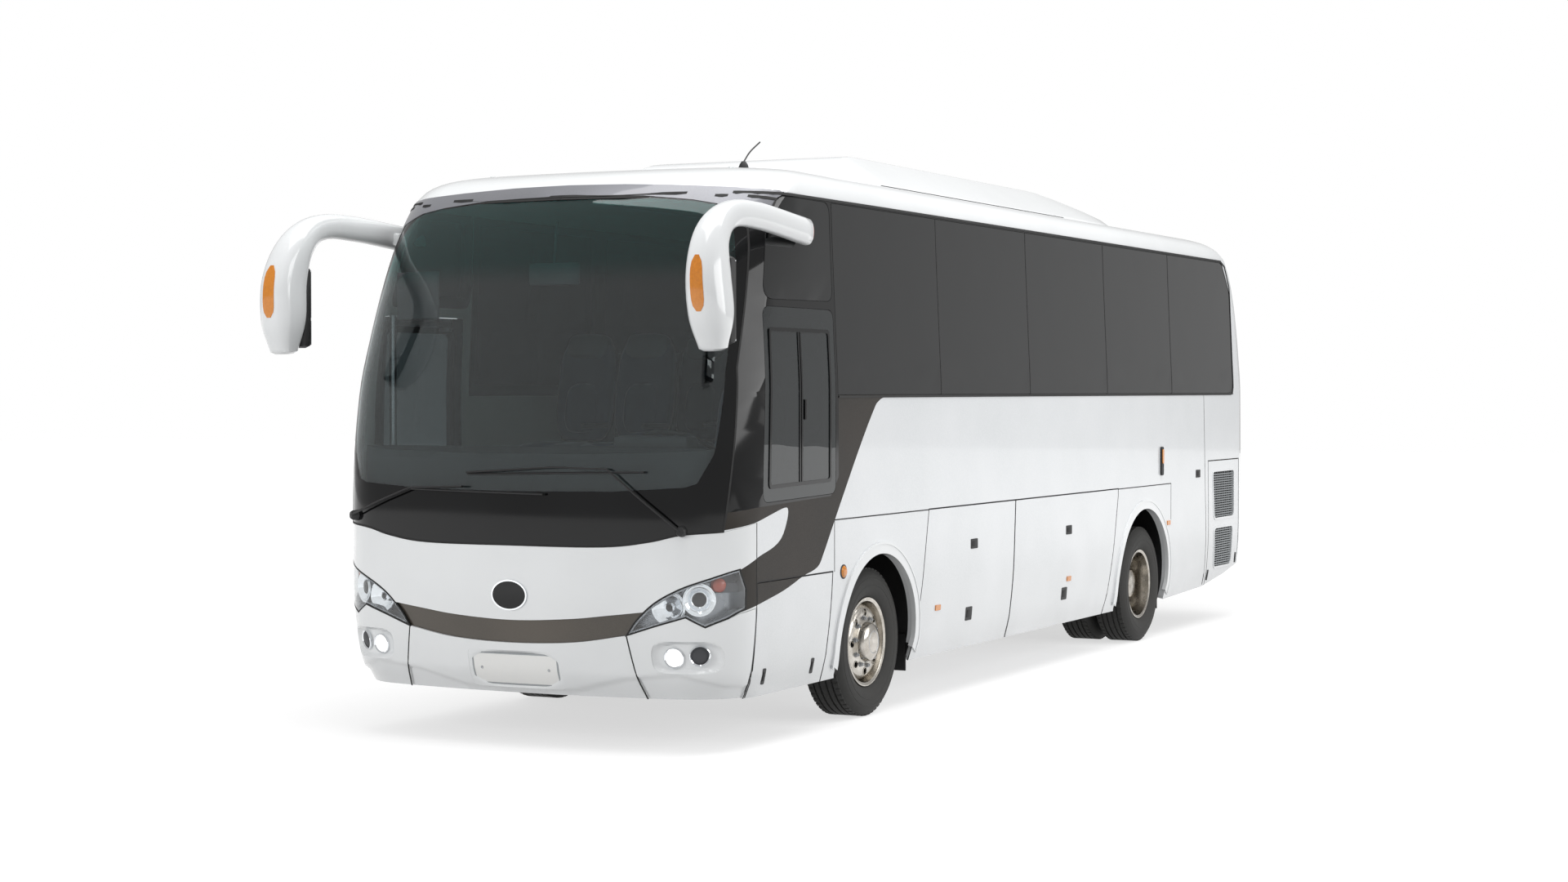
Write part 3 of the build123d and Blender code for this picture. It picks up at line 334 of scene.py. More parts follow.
# A lit lamp behind its lens, as the inner fog lamps are in daylight
lit, tree, lit_base = plain_material("lit_lamp_lens")
place = node(tree, "ShaderNodeTexCoord").outputs["Object"]
cells = node(tree, "ShaderNodeTexVoronoi", {"Vector": place, "Scale": 120.0})
glow = node(
    tree, "ShaderNodeMapRange", {"Value": cells.outputs["Distance"], "To Min": 1.3, "To Max": 0.9},
)
tree.links.new(glow.outputs[0], lit_base.inputs["Emission Strength"])
lit_base.inputs["Emission Color"].default_value = linear("#fffdf8")
lit_base.inputs["Base Color"].default_value = linear("#f4f4f2")
lit_base.inputs["Roughness"].default_value = 0.15


# The body's own surface

def smooth(x, xs, ys):
    """A curve through a table's points that never overshoots them."""
    run = np.diff(xs)
    rise = np.diff(ys) / run
    slope = np.zeros(len(xs))
    slope[0], slope[-1] = rise[0], rise[-1]
    same = rise[:-1] * rise[1:] > 0
    first, second = 2 * run[1:] + run[:-1], run[1:] + 2 * run[:-1]
    weight = np.where(same, first * rise[1:] + second * rise[:-1], 1)
    slope[1:-1] = np.where(same, (first + second) * rise[:-1] * rise[1:] / weight, 0)
    at = np.clip(np.searchsorted(xs, x) - 1, 0, len(xs) - 2)
    t = np.clip((x - xs[at]) / run[at], 0, 1)
    low, high = ys[at], ys[at + 1]
    return (
        low * (1 + 2 * t) * (1 - t) ** 2 + high * t * t * (3 - 2 * t)
        + run[at] * t * (1 - t) * (slope[at] * (1 - t) - slope[at + 1] * t)
    )


def plan_sizes(z):
    """At each height: nose, half width, tail, corner's centre and the lengths of the plan's parts."""
    nose, side, tail = [smooth(z, SECTIONS[:, 0], SECTIONS[:, i]) for i in (1, 2, 3)]
    nose, half, tail = NOSE - nose, HALF - side, TAIL + tail
    centre_y = half - FRONT_CORNER
    centre_x = nose - BOW + np.sqrt((BOW - FRONT_CORNER) ** 2 - centre_y ** 2)
    turn = np.arcsin(centre_y / (BOW - FRONT_CORNER))
    bow = BOW * turn
    corner = FRONT_CORNER * (math.pi / 2 - turn)
    flank = centre_x - tail - REAR_CORNER
    rear = REAR_CORNER * math.pi / 2
    return nose, half, tail, centre_x, centre_y, turn, bow, corner, flank, rear


def skin(s, z):
    """The body's point at height z, s round its outline from the middle of the nose to the left."""
    s, z = np.asarray(s, float), np.asarray(z, float)
    nose, half, tail, centre_x, centre_y, turn, bow, corner, flank, rear = plan_sizes(z)
    d = np.abs(s)
    bend = turn + (d - bow) / FRONT_CORNER
    back = math.pi / 2 + (d - bow - corner - flank) / REAR_CORNER
    parts = [d < bow, d < bow + corner, d < bow + corner + flank, d < bow + corner + flank + rear]
    x = np.select(parts, [
        nose - BOW + BOW * np.cos(d / BOW), centre_x + FRONT_CORNER * np.cos(bend),
        centre_x - (d - bow - corner), tail + REAR_CORNER + REAR_CORNER * np.cos(back),
    ], tail)
    y = np.select(parts, [
        BOW * np.sin(d / BOW), centre_y + FRONT_CORNER * np.sin(bend),
        half, half - REAR_CORNER + REAR_CORNER * np.sin(back),
    ], half - REAR_CORNER - (d - bow - corner - flank - rear))
    return np.stack([x, y * np.where(s < 0, -1, 1), z], -1)


def half_girth(z):
    """Length of the plan outline from the middle of the nose to the middle of the tail."""
    _, half, _, _, _, _, bow, corner, flank, rear = plan_sizes(np.asarray(z, float))
    return bow + corner + flank + rear + half - REAR_CORNER


def rear_skin(q, z):
    """The body's point at height z, q round its outline from the middle of the tail to the right."""
    q = np.asarray(q, float)
    point = skin(half_girth(z) - np.abs(q), z)
    point[..., 1] *= np.where(q > 0, -1, 1)
    return point


def from_side(points, side=1, step=0.08):
    """A line of points (ahead of the front axle, height) as places on the skin."""
    line = finer(points, step)
    x, z = line[:, 0] + AXLE_X, line[:, 1]
    nose, half, tail, centre_x, centre_y, turn, bow, corner, flank, rear = plan_sizes(z)
    bend = np.arccos(np.clip((x - centre_x) / FRONT_CORNER, -1, 1))
    on_bow = BOW * np.arccos(np.clip((x - nose + BOW) / BOW, -1, 1))
    back = np.arccos(np.clip((x - tail - REAR_CORNER) / REAR_CORNER, -1, 1))
    s = np.select(
        [x > centre_x + FRONT_CORNER * np.cos(turn), x > centre_x, x > tail + REAR_CORNER],
        [on_bow, bow + FRONT_CORNER * (bend - turn), bow + corner + centre_x - x],
        bow + corner + flank + REAR_CORNER * (back - math.pi / 2),
    )
    return [(side * a, b) for a, b in zip(s, z)]


def from_front(points, side=1, step=0.05):
    """A line of points (to the left, height) on the nose as places on the skin."""
    line = finer(points, step)
    y, z = line[:, 0], line[:, 1]
    _, half, _, _, centre_y, turn, bow, corner, _, _ = plan_sizes(z)
    size = np.abs(y)
    bend = np.arcsin(np.clip((size - centre_y) / FRONT_CORNER, -1, 1))
    s = np.where(
        size < BOW * np.sin(turn), BOW * np.arcsin(np.clip(size / BOW, 0, 1)),
        bow + FRONT_CORNER * (bend - turn),
    )
    return [(side * a * (-1 if b < 0 else 1), c) for a, b, c in zip(s, y, z)]


def from_rear(points):
    """A line of points (to the left, height) on the tail as places on the rear skin."""
    line = finer(points, 0.05)
    y, z = line[:, 0], line[:, 1]
    half = plan_sizes(z)[1]
    flat = half - REAR_CORNER
    size = np.abs(y)
    bend = np.arcsin(np.clip((size - flat) / REAR_CORNER, 0, 1))
    q = np.where(size < flat, size, flat + REAR_CORNER * bend)
    return [(-a if b > 0 else a, c) for a, b, c in zip(q, y, z)]


def finer(points, step):
    """The line with points added so that none are more than a step apart."""
    points = np.asarray(points, float)
    made = [points[:1]]
    for a, b in zip(points[:-1], points[1:]):
        count = max(1, math.ceil(math.dist(a, b) / step))
        made.append(a + (b - a) * np.linspace(0, 1, count + 1)[1:, None])
    return np.concatenate(made)


def outward(chart, u, v):
    """The unit normals of a surface at its places."""
    normal = np.cross(
        chart(u + NORMAL_STEP, v) - chart(u - NORMAL_STEP, v),
        chart(u, v + NORMAL_STEP) - chart(u, v - NORMAL_STEP),
    )
    return normal / np.linalg.norm(normal, axis=-1, keepdims=True)


def ring(points):
    """The closed outline with its first point repeated at the end."""
    return [*points, points[0]]


def oblong(left, right, low, high):
    """The corners of an upright rectangle."""
    return [(left, low), (right, low), (right, high), (left, high)]


def rounded(points, radius, steps=6):
    """A closed outline with its corners rounded."""
    made = []
    count = len(points)
    for i in range(count):
        before, here, after = [np.array(points[(i + k) % count], float) for k in (-1, 0, 1)]
        a, b = before - here, after - here
        length_a, length_b = np.linalg.norm(a), np.linalg.norm(b)
        a, b = a / length_a, b / length_b
        angle = math.acos(np.clip(a @ b, -1, 1))
        reach = min(radius / math.tan(angle / 2), 0.45 * length_a, 0.45 * length_b)
        start, end = here + a * reach, here + b * reach
        for t in np.linspace(0, 1, steps + 1):
            made.append(tuple((1 - t) ** 2 * start + 2 * t * (1 - t) * here + t * t * end))
    return made


def grown(points, gap):
    """A closed outline with every edge moved outwards by gap."""
    points = np.array(points, float)
    ahead = np.roll(points, -1, axis=0)
    keep = np.linalg.norm(ahead - points, axis=1) > 1e-9
    points = points[keep]
    ahead, behind = np.roll(points, -1, axis=0), np.roll(points, 1, axis=0)
    way = 1 if np.sum(points[:, 0] * ahead[:, 1] - ahead[:, 0] * points[:, 1]) > 0 else -1
    out = (ahead - points) / np.linalg.norm(ahead - points, axis=1)[:, None]
    into = (points - behind) / np.linalg.norm(points - behind, axis=1)[:, None]
    mid = out + into
    mid = mid / np.linalg.norm(mid, axis=1)[:, None]
    stretch = np.clip(np.sum(mid * out, axis=1), 0.35, 1)
    return [
        tuple(p)
        for p in points + way * gap / stretch[:, None] * np.stack([mid[:, 1], -mid[:, 0]], 1)
    ]


def strip(points, width):
    """The closed outline of a strip of that width along an open line."""
    points = np.array(points, float)
    way = np.gradient(points, axis=0)
    way = way / np.linalg.norm(way, axis=1)[:, None]
    side = np.stack([way[:, 1], -way[:, 0]], 1) * width / 2
    return [tuple(p) for p in np.concatenate([points + side, (points - side)[::-1]])]


def mirrored_line(points):
    """The line on the other side of the middle, in the opposite order."""
    return [(-a, b) for a, b in points[::-1]]


def circle(x, z, radius, steps=48, squash=1.0):
    """A closed round outline."""
    turns = np.arange(steps) * 2 * math.pi / steps
    return [(x + radius * math.cos(t), z + squash * radius * math.sin(t)) for t in turns]


def inside(points, loop):
    """Which points lie inside a closed outline."""
    loop = np.asarray(loop, float)
    x, y = points[:, :1], points[:, 1:]
    x0, y0 = loop[:, 0], loop[:, 1]
    x1, y1 = np.roll(x0, -1), np.roll(y0, -1)
    rise = np.where(y1 == y0, 1, y1 - y0)
    crossed = ((y0 > y) != (y1 > y)) & (x < x0 + (y - y0) * (x1 - x0) / rise)
    return crossed.sum(1) % 2 == 1


# Shapes

class Shape:
    """Points, faces and for each face the number of its material."""

    def __init__(self, points, faces, slots=None):
        self.points = np.asarray(points, float).reshape(-1, 3)
        self.faces = [tuple(f) for f in faces]
        self.slots = list(slots) if slots is not None else [0] * len(self.faces)

    def moved(self, matrix):
        """The shape carried by a matrix."""
        m = np.array(matrix)
        return Shape(self.points @ m[:3, :3].T + m[:3, 3], self.faces, self.slots)

    def mirrored(self):
        """The shape on the other side of the vehicle."""
        return Shape(self.points * (1, -1, 1), [f[::-1] for f in self.faces], self.slots)


def joined(shapes):
    """Several shapes as one."""
    points, faces, slots, start = [], [], [], 0
    for shape in shapes:
        points.append(shape.points)
        faces += [tuple(i + start for i in f) for f in shape.faces]
        slots += shape.slots
        start += len(shape.points)
    return Shape(np.concatenate(points), faces, slots)


def both(shape):
    """A shape with its mirror image."""
    return joined([shape, shape.mirrored()])


# A grid step so wide that a patch has no points inside its outlines
NO_GRID = (1, 1)


def patch(chart, outline, holes=(), zones=(), thick=0.004, proud=0.0, step=(0.12, 0.05), back=None):
    """A sheet cut from a surface by outlines, with holes, painted zones and a thickness inwards.

    The outlines may cross each other. Zone outlines give material 1, 2 and so on; back is
    the material of the inner face. proud is a height above the surface, or gives it.
    """
    loops = [outline, *holes, *zones]
    points, edges = [], []
    for loop in loops:
        start = len(points)
        points += [tuple(p) for p in loop]
        edges += [(start + i, start + (i + 1) % len(loop)) for i in range(len(loop))]
    line = np.array(outline)
    low, high = line.min(0), line.max(0)
    count = np.maximum(((high - low) / step).astype(int), 1)
    across, up = [np.linspace(low[i], high[i], count[i] + 2)[1:-1] for i in (0, 1)]
    grid = np.stack(np.meshgrid(across, up), -1).reshape(-1, 2)
    grid = grid[inside(grid, outline)]
    rim = np.array(points)
    for start in range(0, len(grid), 4000):
        part = grid[start:start + 4000]
        near = (np.abs(part[:, None] - rim[None]) / np.array(step)).max(2).min(1)
        points += [tuple(p) for p in part[near > 0.3]]
    cut = delaunay_2d_cdt([Vector(p) for p in points], edges, [], 0, 1e-7, False)
    flat = np.array([tuple(v) for v in cut[0]])
    faces = np.array([f for f in cut[2] if len(f) == 3])
    middle = flat[faces].mean(1)
    keep = inside(middle, outline)
    for hole in holes:
        keep &= ~inside(middle, hole)
    faces, middle = faces[keep], middle[keep]
    slots = np.zeros(len(faces), int)
    for number, zone in enumerate(zones, 1):
        slots[inside(middle, zone)] = number
    used, faces = np.unique(faces, return_inverse=True)
    faces = faces.reshape(-1, 3)
    flat = flat[used]
    u, v = flat[:, 0], flat[:, 1]
    rise = proud(u, v) if callable(proud) else np.full(len(u), float(proud))
    normal = outward(chart, u, v)
    place = chart(u, v)
    outer, inner = place + normal * rise[:, None], place + normal * (rise - thick)[:, None]
    size = len(flat)
    sides = {}
    for number, (a, b, c) in enumerate(faces):
        for edge in ((a, b), (b, c), (c, a)):
            if edge[::-1] in sides:
                del sides[edge[::-1]]
            else:
                sides[edge] = slots[number]
    made = [tuple(f) for f in faces] + [tuple(f[::-1] + size) for f in faces]
    painted = list(slots) + [back] * len(faces) if back is not None else list(slots) * 2
    for (a, b), slot in sides.items():
        made.append((b, a, a + size, b + size))
        painted.append(slot)
    return Shape(np.concatenate([outer, inner]), made, painted)


def loft(rings, closed=True):
    """A skin over rings of equal size: capped if closed, otherwise the last joins the first."""
    rings = np.asarray(rings, float)
    rows, count = rings.shape[:2]
    faces = []
    for i in range(rows if not closed else rows - 1):
        a, b = i * count, (i + 1) % rows * count
        faces += [(a + j, a + (j + 1) % count, b + (j + 1) % count, b + j) for j in range(count)]
    if closed:
        faces += [tuple(range(count))[::-1], tuple(range((rows - 1) * count, rows * count))]
    return Shape(rings.reshape(-1, 3), faces)


def spin(profile, matrix, steps=64):
    """Radius and height pairs turned about a local Z axis.

    The profile closes on itself, or starts and ends on the axis.
    """
    turns = np.arange(steps) * 2 * math.pi / steps
    rings = [[(r * math.cos(t), r * math.sin(t), h) for t in turns] for r, h in profile]
    touches = profile[0][0] < 1e-6 and profile[-1][0] < 1e-6
    shape = loft(rings, closed=touches)
    if touches:
        shape.faces, shape.slots = shape.faces[:-2], shape.slots[:-2]
    return shape.moved(matrix)


def facing(place, direction):
    """Matrix that stands a shape's local Z axis along a direction at a place."""
    return Matrix.Translation(place) @ Vector(direction).to_track_quat("Z", "Y").to_matrix().to_4x4()


def curve_through(points, steps=8):
    """A smooth line through points."""
    points = np.asarray(points, float)
    padded = np.concatenate([[2 * points[0] - points[1]], points, [2 * points[-1] - points[-2]]])
    made = []
    for i in range(1, len(padded) - 2):
        a, b, c, d = padded[i - 1:i + 3]
        for t in np.arange(steps) / steps:
            made.append(
                0.5 * (
                    2 * b + (c - a) * t + (2 * a - 5 * b + 4 * c - d) * t * t
                    + (3 * b - a - 3 * c + d) * t ** 3
                )
            )
    return np.array([*made, points[-1]])


def rod(points, radius, sides=12, flat=1.0):
    """A round or flattened bar along a line."""
    points = np.asarray(points, float)
    radius = np.broadcast_to(np.asarray(radius, float), len(points))
    way = np.gradient(points, axis=0)
    way /= np.linalg.norm(way, axis=1)[:, None]
    up = np.cross(way[0], (0.0, 0.3, 1.0))
    rings = []
    for p, w, r in zip(points, way, radius):
        up = up - w * (up @ w)
        up /= np.linalg.norm(up)
        other = np.cross(w, up)
        turns = np.arange(sides) * 2 * math.pi / sides
        rings.append([p + r * (math.cos(t) * up + flat * math.sin(t) * other) for t in turns])
    return loft(rings)


def block(x, y, z, edge=0.003):
    """A box between two places on each axis, with its edges rounded."""
    made = bmesh.new()
    bmesh.ops.create_cube(made, size=1)
    size = [abs(b - a) for a, b in (x, y, z)]
    bmesh.ops.scale(made, vec=size, verts=made.verts)
    bmesh.ops.translate(made, vec=[(a + b) / 2 for a, b in (x, y, z)], verts=made.verts)
    bmesh.ops.bevel(
        made, geom=made.edges[:], offset=min(edge, 0.45 * min(size)), segments=2, profile=0.5,
        affect="EDGES",
    )
    shape = Shape([v.co[:] for v in made.verts], [[v.index for v in f.verts] for f in made.faces])
    made.free()
    return shape


def body_block(back, front, y, z, edge=0.003):
    """A rounded box between two places ahead of the front axle."""
    return block((AXLE_X + back, AXLE_X + front), y, z, edge)


def shaded(mesh, sharp):
    """Smooth faces, with the edges over an angle kept crisp."""
    mesh.polygons.foreach_set("use_smooth", [True] * len(mesh.polygons))
    mesh.set_sharp_from_angle(angle=math.radians(sharp))


def piece(name, body, parts, replaces=(), sharp=30):
    """One object from pairs of a shape and its material or materials, riding on a body."""
    points, faces, slots, materials, start = [], [], [], [], 0
    for shape, finishes in parts:
        finishes = finishes if isinstance(finishes, (list, tuple)) else [finishes]
        numbers = []
        for material in finishes:
            if material not in materials:
                materials.append(material)
            numbers.append(materials.index(material))
        points.append(shape.points)
        faces += [tuple(int(i) + start for i in f) for f in shape.faces]
        slots += [numbers[int(i)] for i in shape.slots]
        start += len(shape.points)
    mesh = bpy.data.meshes.new(name)
    mesh.from_pydata(np.concatenate(points).tolist(), [], faces)
    for material in materials:
        mesh.materials.append(material)
    mesh.polygons.foreach_set("material_index", slots)
    work = bmesh.new()
    work.from_mesh(mesh)
    bmesh.ops.remove_doubles(work, verts=work.verts, dist=2e-6)
    bmesh.ops.recalc_face_normals(work, faces=work.faces)
    work.to_mesh(mesh)
    work.free()
    shaded(mesh, sharp)
    made = added(name, mesh)
    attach(made, body)
    if replaces:
        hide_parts(*replaces)


# Lines of the body, ahead of the front axle

REAR_SEAM = [(-7.150, 0.200), (-7.150, 1.900), (-7.070, 2.500), (-6.900, 2.850), (-6.780, ROOF_LINE)]
SIDE_FRONT = [
    (1.376, ROOF_LINE), (1.467, 2.674), (1.685, 2.024), (1.809, 1.170),
    (1.590, 1.211), (1.590, 0.890), (1.612, 0.200),
]
SKIRT = [
    (-8.0, 0.0), (2.6, 0.0), (2.6, 0.281), (-5.300, 0.282), (-6.260, 0.313),
    (-6.800, 0.385), (-7.150, 0.450), (-7.500, 0.470), (-8.0, 0.470),
]


EASE_STEPS = 6


def eased(line):
    """A smooth line through points that starts level at the middle line."""
    whole = curve_through([(-line[1][0], line[1][1]), *line], EASE_STEPS)
    return [tuple(p) for p in whole[EASE_STEPS:]]


SCREEN_FOOT = eased([(0, 1.086), (0.548, 1.088), (0.806, 1.116), (0.980, 1.154), (1.170, 1.170)])
SCREEN_SIDE = [(1.809, 1.170), (1.685, 2.024), (1.467, 2.674), (1.400, 2.890)]
STRIP_FOOT = eased([(0, 0.565), (0.375, 0.580), (0.680, 0.626)])
BUMPER_TOP = [
    *STRIP_FOOT, (0.837, 0.677), (1.004, 0.727), (1.093, 0.675), (1.182, 0.718), (1.2497, 0.760),
]
LAMP_TOP = [
    (0.680, 0.626), (0.740, 0.708), (0.841, 0.800), (0.973, 0.872), (1.123, 0.930), (1.222, 0.972),
]
HEADLAMP = [
    *[tuple(p) for p in curve_through(LAMP_TOP, 5)],
    (1.236, 0.870), (1.234, 0.763), (1.182, 0.718), (1.093, 0.675), (1.004, 0.727), (0.837, 0.677),
]
STRIP_TOP = eased([(0, 0.686), (0.350, 0.702), (0.590, 0.728), (0.800, 0.752)])
SWOOSH_EDGE = [
    (-0.300, 1.868), (-0.040, 1.866), (0.070, 1.840), (0.140, 1.785), (0.334, 1.568), (0.655, 1.174),
    (0.790, 1.005), (0.870, 0.930), (1.045, 0.893),
]
SWOOSH_LOW = [(1.045, 0.893), (1.277, 0.831), (1.592, 0.774), (1.689, 0.754), (1.760, 0.735)]
BLADE = [
    (1.760, 0.945), (1.715, 0.972), (1.574, 1.027), (1.400, 1.070), (1.300, 1.120), (1.240, 1.205),
    (1.228, 1.262), (1.270, 1.274), (1.420, 1.246), (1.573, 1.215), (1.759, 1.186), (1.860, 1.170),
]
SWOOSH = [
    *[tuple(p) for p in curve_through(SWOOSH_EDGE, 4)][:-1],
    *[tuple(p) for p in curve_through(SWOOSH_LOW, 4)], *[tuple(p) for p in curve_through(BLADE, 4)],
    (1.860, 1.895), (-0.300, 1.895),
]
BAND = [
    (-6.975, 1.866), (2.300, 1.866), (2.300, 2.990), (1.150, 2.990), (1.150, 2.963), (-6.772, 2.963),
    (-6.975, 2.720),
]
# The black surround of the driver's window, over the swoosh
PILLAR = [
    (0.600, 1.862), (0.600, 1.420), (0.700, 1.316), (1.600, 1.288), (1.860, 1.262), (1.860, 1.900),
    (0.600, 1.900),
]

JOINTS = [-5.350, -3.870, -2.344, -0.850, 0.610]
DRIVER_WINDOW = [(0.640, 1.330), (1.520, 1.310), (1.470, 2.350), (0.640, 2.350)]
UPPER_PANE = [(0.640, 2.400), (1.462, 2.390), (1.330, 2.850), (1.190, GLASS_TOP), (0.640, GLASS_TOP)]
LUGGAGE = {
    "front": [(-2.080, 1.180), (-0.663, 1.180), (-0.450, 0.200), (-2.004, 0.200)],
    "rear": [(-4.100, 1.180), (-2.080, 1.180), (-2.004, 0.200), (-3.860, 0.200), (-4.100, 1.130)],
}
SERVICE_FLAP = [(0.680, 0.890), (1.580, 0.890), (1.605, 0.200), (0.750, 0.200)]
ENGINE_FLAP = [(-7.130, 1.327), (-6.290, 1.327), (-6.320, 0.200), (-7.130, 0.200)]
DOOR = [(0.700, 0.330), (1.575, 0.330), (1.545, 2.330), (0.700, 2.330)]
DOOR_PANES = [
    [(0.800, 1.320), (1.470, 1.320), (1.450, 2.240), (0.800, 2.240)],
    [(0.800, 0.620), (1.480, 0.620), (1.472, 1.240), (0.800, 1.240)],
]
# Each arch: its middle ahead of the front axle, and its radius
ARCHES = [(0.040, 0.525), (0.115 - WHEELBASE, 0.580)]


def side_loop(points, side=1):
    """A closed side outline on the skin."""
    return from_side(ring(points), side)


def on_side(points, side, gap=0.0):
    """A closed side outline on the skin, moved outwards by gap."""
    return side_loop(grown(points, gap), side)[:-1]


def front_loop(points, step=0.03):
    """A closed outline seen from the front, on the skin."""
    return from_front(ring(points), step=step)[:-1]


def skin_strip(points, side, width, thick=0.004, proud=0.0008, along=from_side):
    """A thin strip of that width along an open line on the side or the nose."""
    return patch(skin, strip(along(points, side), width), thick=thick, proud=proud, step=NO_GRID)


def arch_hole(x, radius):
    """An arch's outline, straight down below the axle."""
    top = [
        (x + radius * math.cos(t), AXLE_Z + radius * math.sin(t))
        for t in np.linspace(0, math.pi, 49)
    ]
    return [(x + radius, 0.1), *top, (x - radius, 0.1)]


def half_and_half(left):
    """A closed outline from its left half, which runs from the middle line to the middle line."""
    return [*left, *mirrored_line(left[1:-1])]


# Front end: white panel with the lamps' and the strip's openings, and the swoosh wrapping round
seam_up = from_side([(1.598, 0.760), (1.590, 0.890), (1.590, 1.211)])
panel_left = [
    *from_front(BUMPER_TOP), *seam_up[1:], *from_side([(1.590, 1.211), (1.809, 1.170)])[1:],
    *from_front(SCREEN_FOOT)[::-1],
]
strip_left = [*from_front([*STRIP_FOOT, (0.820, 0.672)]), *from_front(STRIP_TOP)[::-1]]
lamp_outline = front_loop(HEADLAMP)
lamp_holes = [grown(lamp_outline, GAP), grown(mirrored_line(lamp_outline), GAP)]
swooshes = [side_loop(SWOOSH, side) for side in (1, -1)]
strip_outline = half_and_half(strip_left)
panel = patch(
    skin, grown(half_and_half(panel_left), -0.001), holes=[*lamp_holes, grown(strip_outline, 0.001)],
    zones=swooshes, thick=0.05, step=(0.05, 0.04), back=3,
)
piece(
    "front_panel_skin", "coach", [(panel, [gel_coat, umber, umber, abs_grey])], ["front_panel"],
)
strip_sheet = patch(skin, strip_outline, holes=lamp_holes, thick=0.03, proud=-0.012, step=(0.06, 0.03))
# The strip's lighter umber is a painted sky reflection
piece("front_strip", "coach", [(strip_sheet, strip_umber_painted_reflection)])

# Bumper: its lower edge tucks in below a soft crease; recesses for the plate and the fog lamps
CREASE = np.array(
    [(0, 0.309), (0.340, 0.324), (0.640, 0.400), (0.950, 0.431), (1.180, 0.366), (1.600, 0.330)]
)
PLATE_HALF, PLATE_LOW, PLATE_HIGH = 0.290, 0.318, 0.522
FOG_Y = 0.985


def bumper_relief(s, z):
    """The tuck below the bumper's crease."""
    line = np.interp(np.abs(s), CREASE[:, 0], CREASE[:, 1])
    return -0.011 * np.clip((line - z) / 0.022, 0, 1)


foot_s = from_side([(1.6095, 0.281), (1.6095, 0.282)])[0][0]
bumper_left = [
    *[tuple(p) for p in finer([(0, 0.281), (foot_s, 0.281)], 0.05)],
    *from_side([(1.6095, 0.281), (1.598, 0.760)])[1:], *from_front(BUMPER_TOP)[::-1],
]
fog_loop = [(FOG_Y + x, z) for x, z in rounded(oblong(-0.175, 0.175, 0.430, 0.600), 0.085, 10)]
fog_outline = front_loop(fog_loop)
plate_loop = rounded(oblong(-PLATE_HALF, PLATE_HALF, PLATE_LOW, PLATE_HIGH), 0.03)
plate_outline = front_loop(plate_loop, 0.04)
bumper = patch(
    skin, grown(half_and_half(bumper_left), -0.001),
    holes=[plate_outline, fog_outline, mirrored_line(fog_outline)], thick=BODY_WALL,
    proud=bumper_relief, step=(0.04, 0.012), back=1,
)


def dished(outline_middle, half_size, depth):
    """A height function that sinks smoothly inside a slot-shaped rim."""
    def relief(s, z):
        a = np.abs(np.abs(s) - outline_middle[0]) / half_size[0]
        b = np.abs(z - outline_middle[1]) / half_size[1]
        inner = np.clip(1.12 * (1 - (a ** 3 + b ** 3) ** (1 / 3)), 0, 1)
        return -depth * np.sin(np.clip(inner * 3.2, 0, 1) * math.pi / 2) - 0.001
    return relief


fog_middle = np.mean(fog_outline, axis=0)
fog_size = (np.array(fog_outline).max(0) - np.array(fog_outline).min(0)) / 2
fog_dish = patch(
    skin, grown(fog_outline, 0.0005), thick=0.006, proud=dished(fog_middle, fog_size, 0.028),
    step=(0.012, 0.010),
)
plate_dish = patch(
    skin, grown(plate_outline, 0.0005), thick=0.006,
    proud=dished(np.mean(plate_outline, axis=0), (PLATE_HALF, 0.102), 0.016), step=(0.02, 0.010),
)
piece(
    "front_bumper_skin", "coach",
    [(bumper, [gel_coat, abs_grey]), (both(fog_dish), gel_coat), (plate_dish, gel_coat)],
    ["front_bumper"],
)

# Windscreen: frit round the edge, clear glass inside it
screen_left = [
    *from_front(SCREEN_FOOT), *from_side(SCREEN_SIDE)[1:],
    *from_front([(1.080, 2.900), (0.940, 2.930), (0.500, 2.975), (0, 2.985)]),
]
clear_left = [
    *from_front([(0, 1.370), (0.600, 1.376), (1.000, 1.400), (1.060, 1.420)]),
    *from_side([(1.850, 1.500), (1.740, 2.000), (1.530, 2.650), (1.466, 2.840)])[1:],
    *from_front([(0.980, 2.880), (0.900, 2.915), (0.500, 2.948), (0, 2.955)]),
]
screen_outline = half_and_half(screen_left)
screen = patch(
    skin, grown(screen_outline, -0.003), zones=[half_and_half(clear_left)], thick=0.008,
    step=(0.06, 0.04),
)
piece(
    "windscreen_glass", "coach", [(screen, [frit, screen_glass])], ["windscreen"],
    sharp=40,
)
screen_seal = patch(
    skin, grown(screen_outline, 0.004), holes=[grown(screen_outline, -0.007)], thick=0.012,
    proud=0.0015,
)
brow_low = [(0, 2.967), (0.500, 2.955), (0.800, 2.925), (0.940, 2.900), (1.050, 2.855)]
brow_high = [(1.000, 2.992), (0.700, 3.010), (0.350, 3.025), (0, 3.030)]
brow_left = [
    *from_front(brow_low),
    *from_side([(1.390, 2.835), (1.300, 2.850), (1.215, 2.940), (1.150, 2.968), (1.180, 2.982)]),
    *from_front(brow_high),
]
brow = patch(skin, half_and_half(brow_left), thick=0.008, proud=0.0025, step=(0.05, 0.015))
piece("brow_band", "coach", [(brow, band_grey)])

# Side walls: white below the belt, black round the glass, with the swoosh behind the front corner
first_edge = JOINTS[0] - JOINT
last_pane = [
    (-6.960, BELT), (first_edge, BELT), (first_edge, GLASS_TOP), (-6.760, GLASS_TOP), (-6.960, 2.700),
]
last_round = rounded(last_pane, 0.12)
panes = [[*last_pane[1:3], *last_round[-14:], *last_round[:7]]]
panes += [
    oblong(behind + JOINT, ahead - JOINT, BELT, GLASS_TOP)
    for behind, ahead in zip(JOINTS[:-1], JOINTS[1:])
]
upper_pane = rounded(UPPER_PANE, 0.07)
driver_pane = rounded(DRIVER_WINDOW, 0.06)


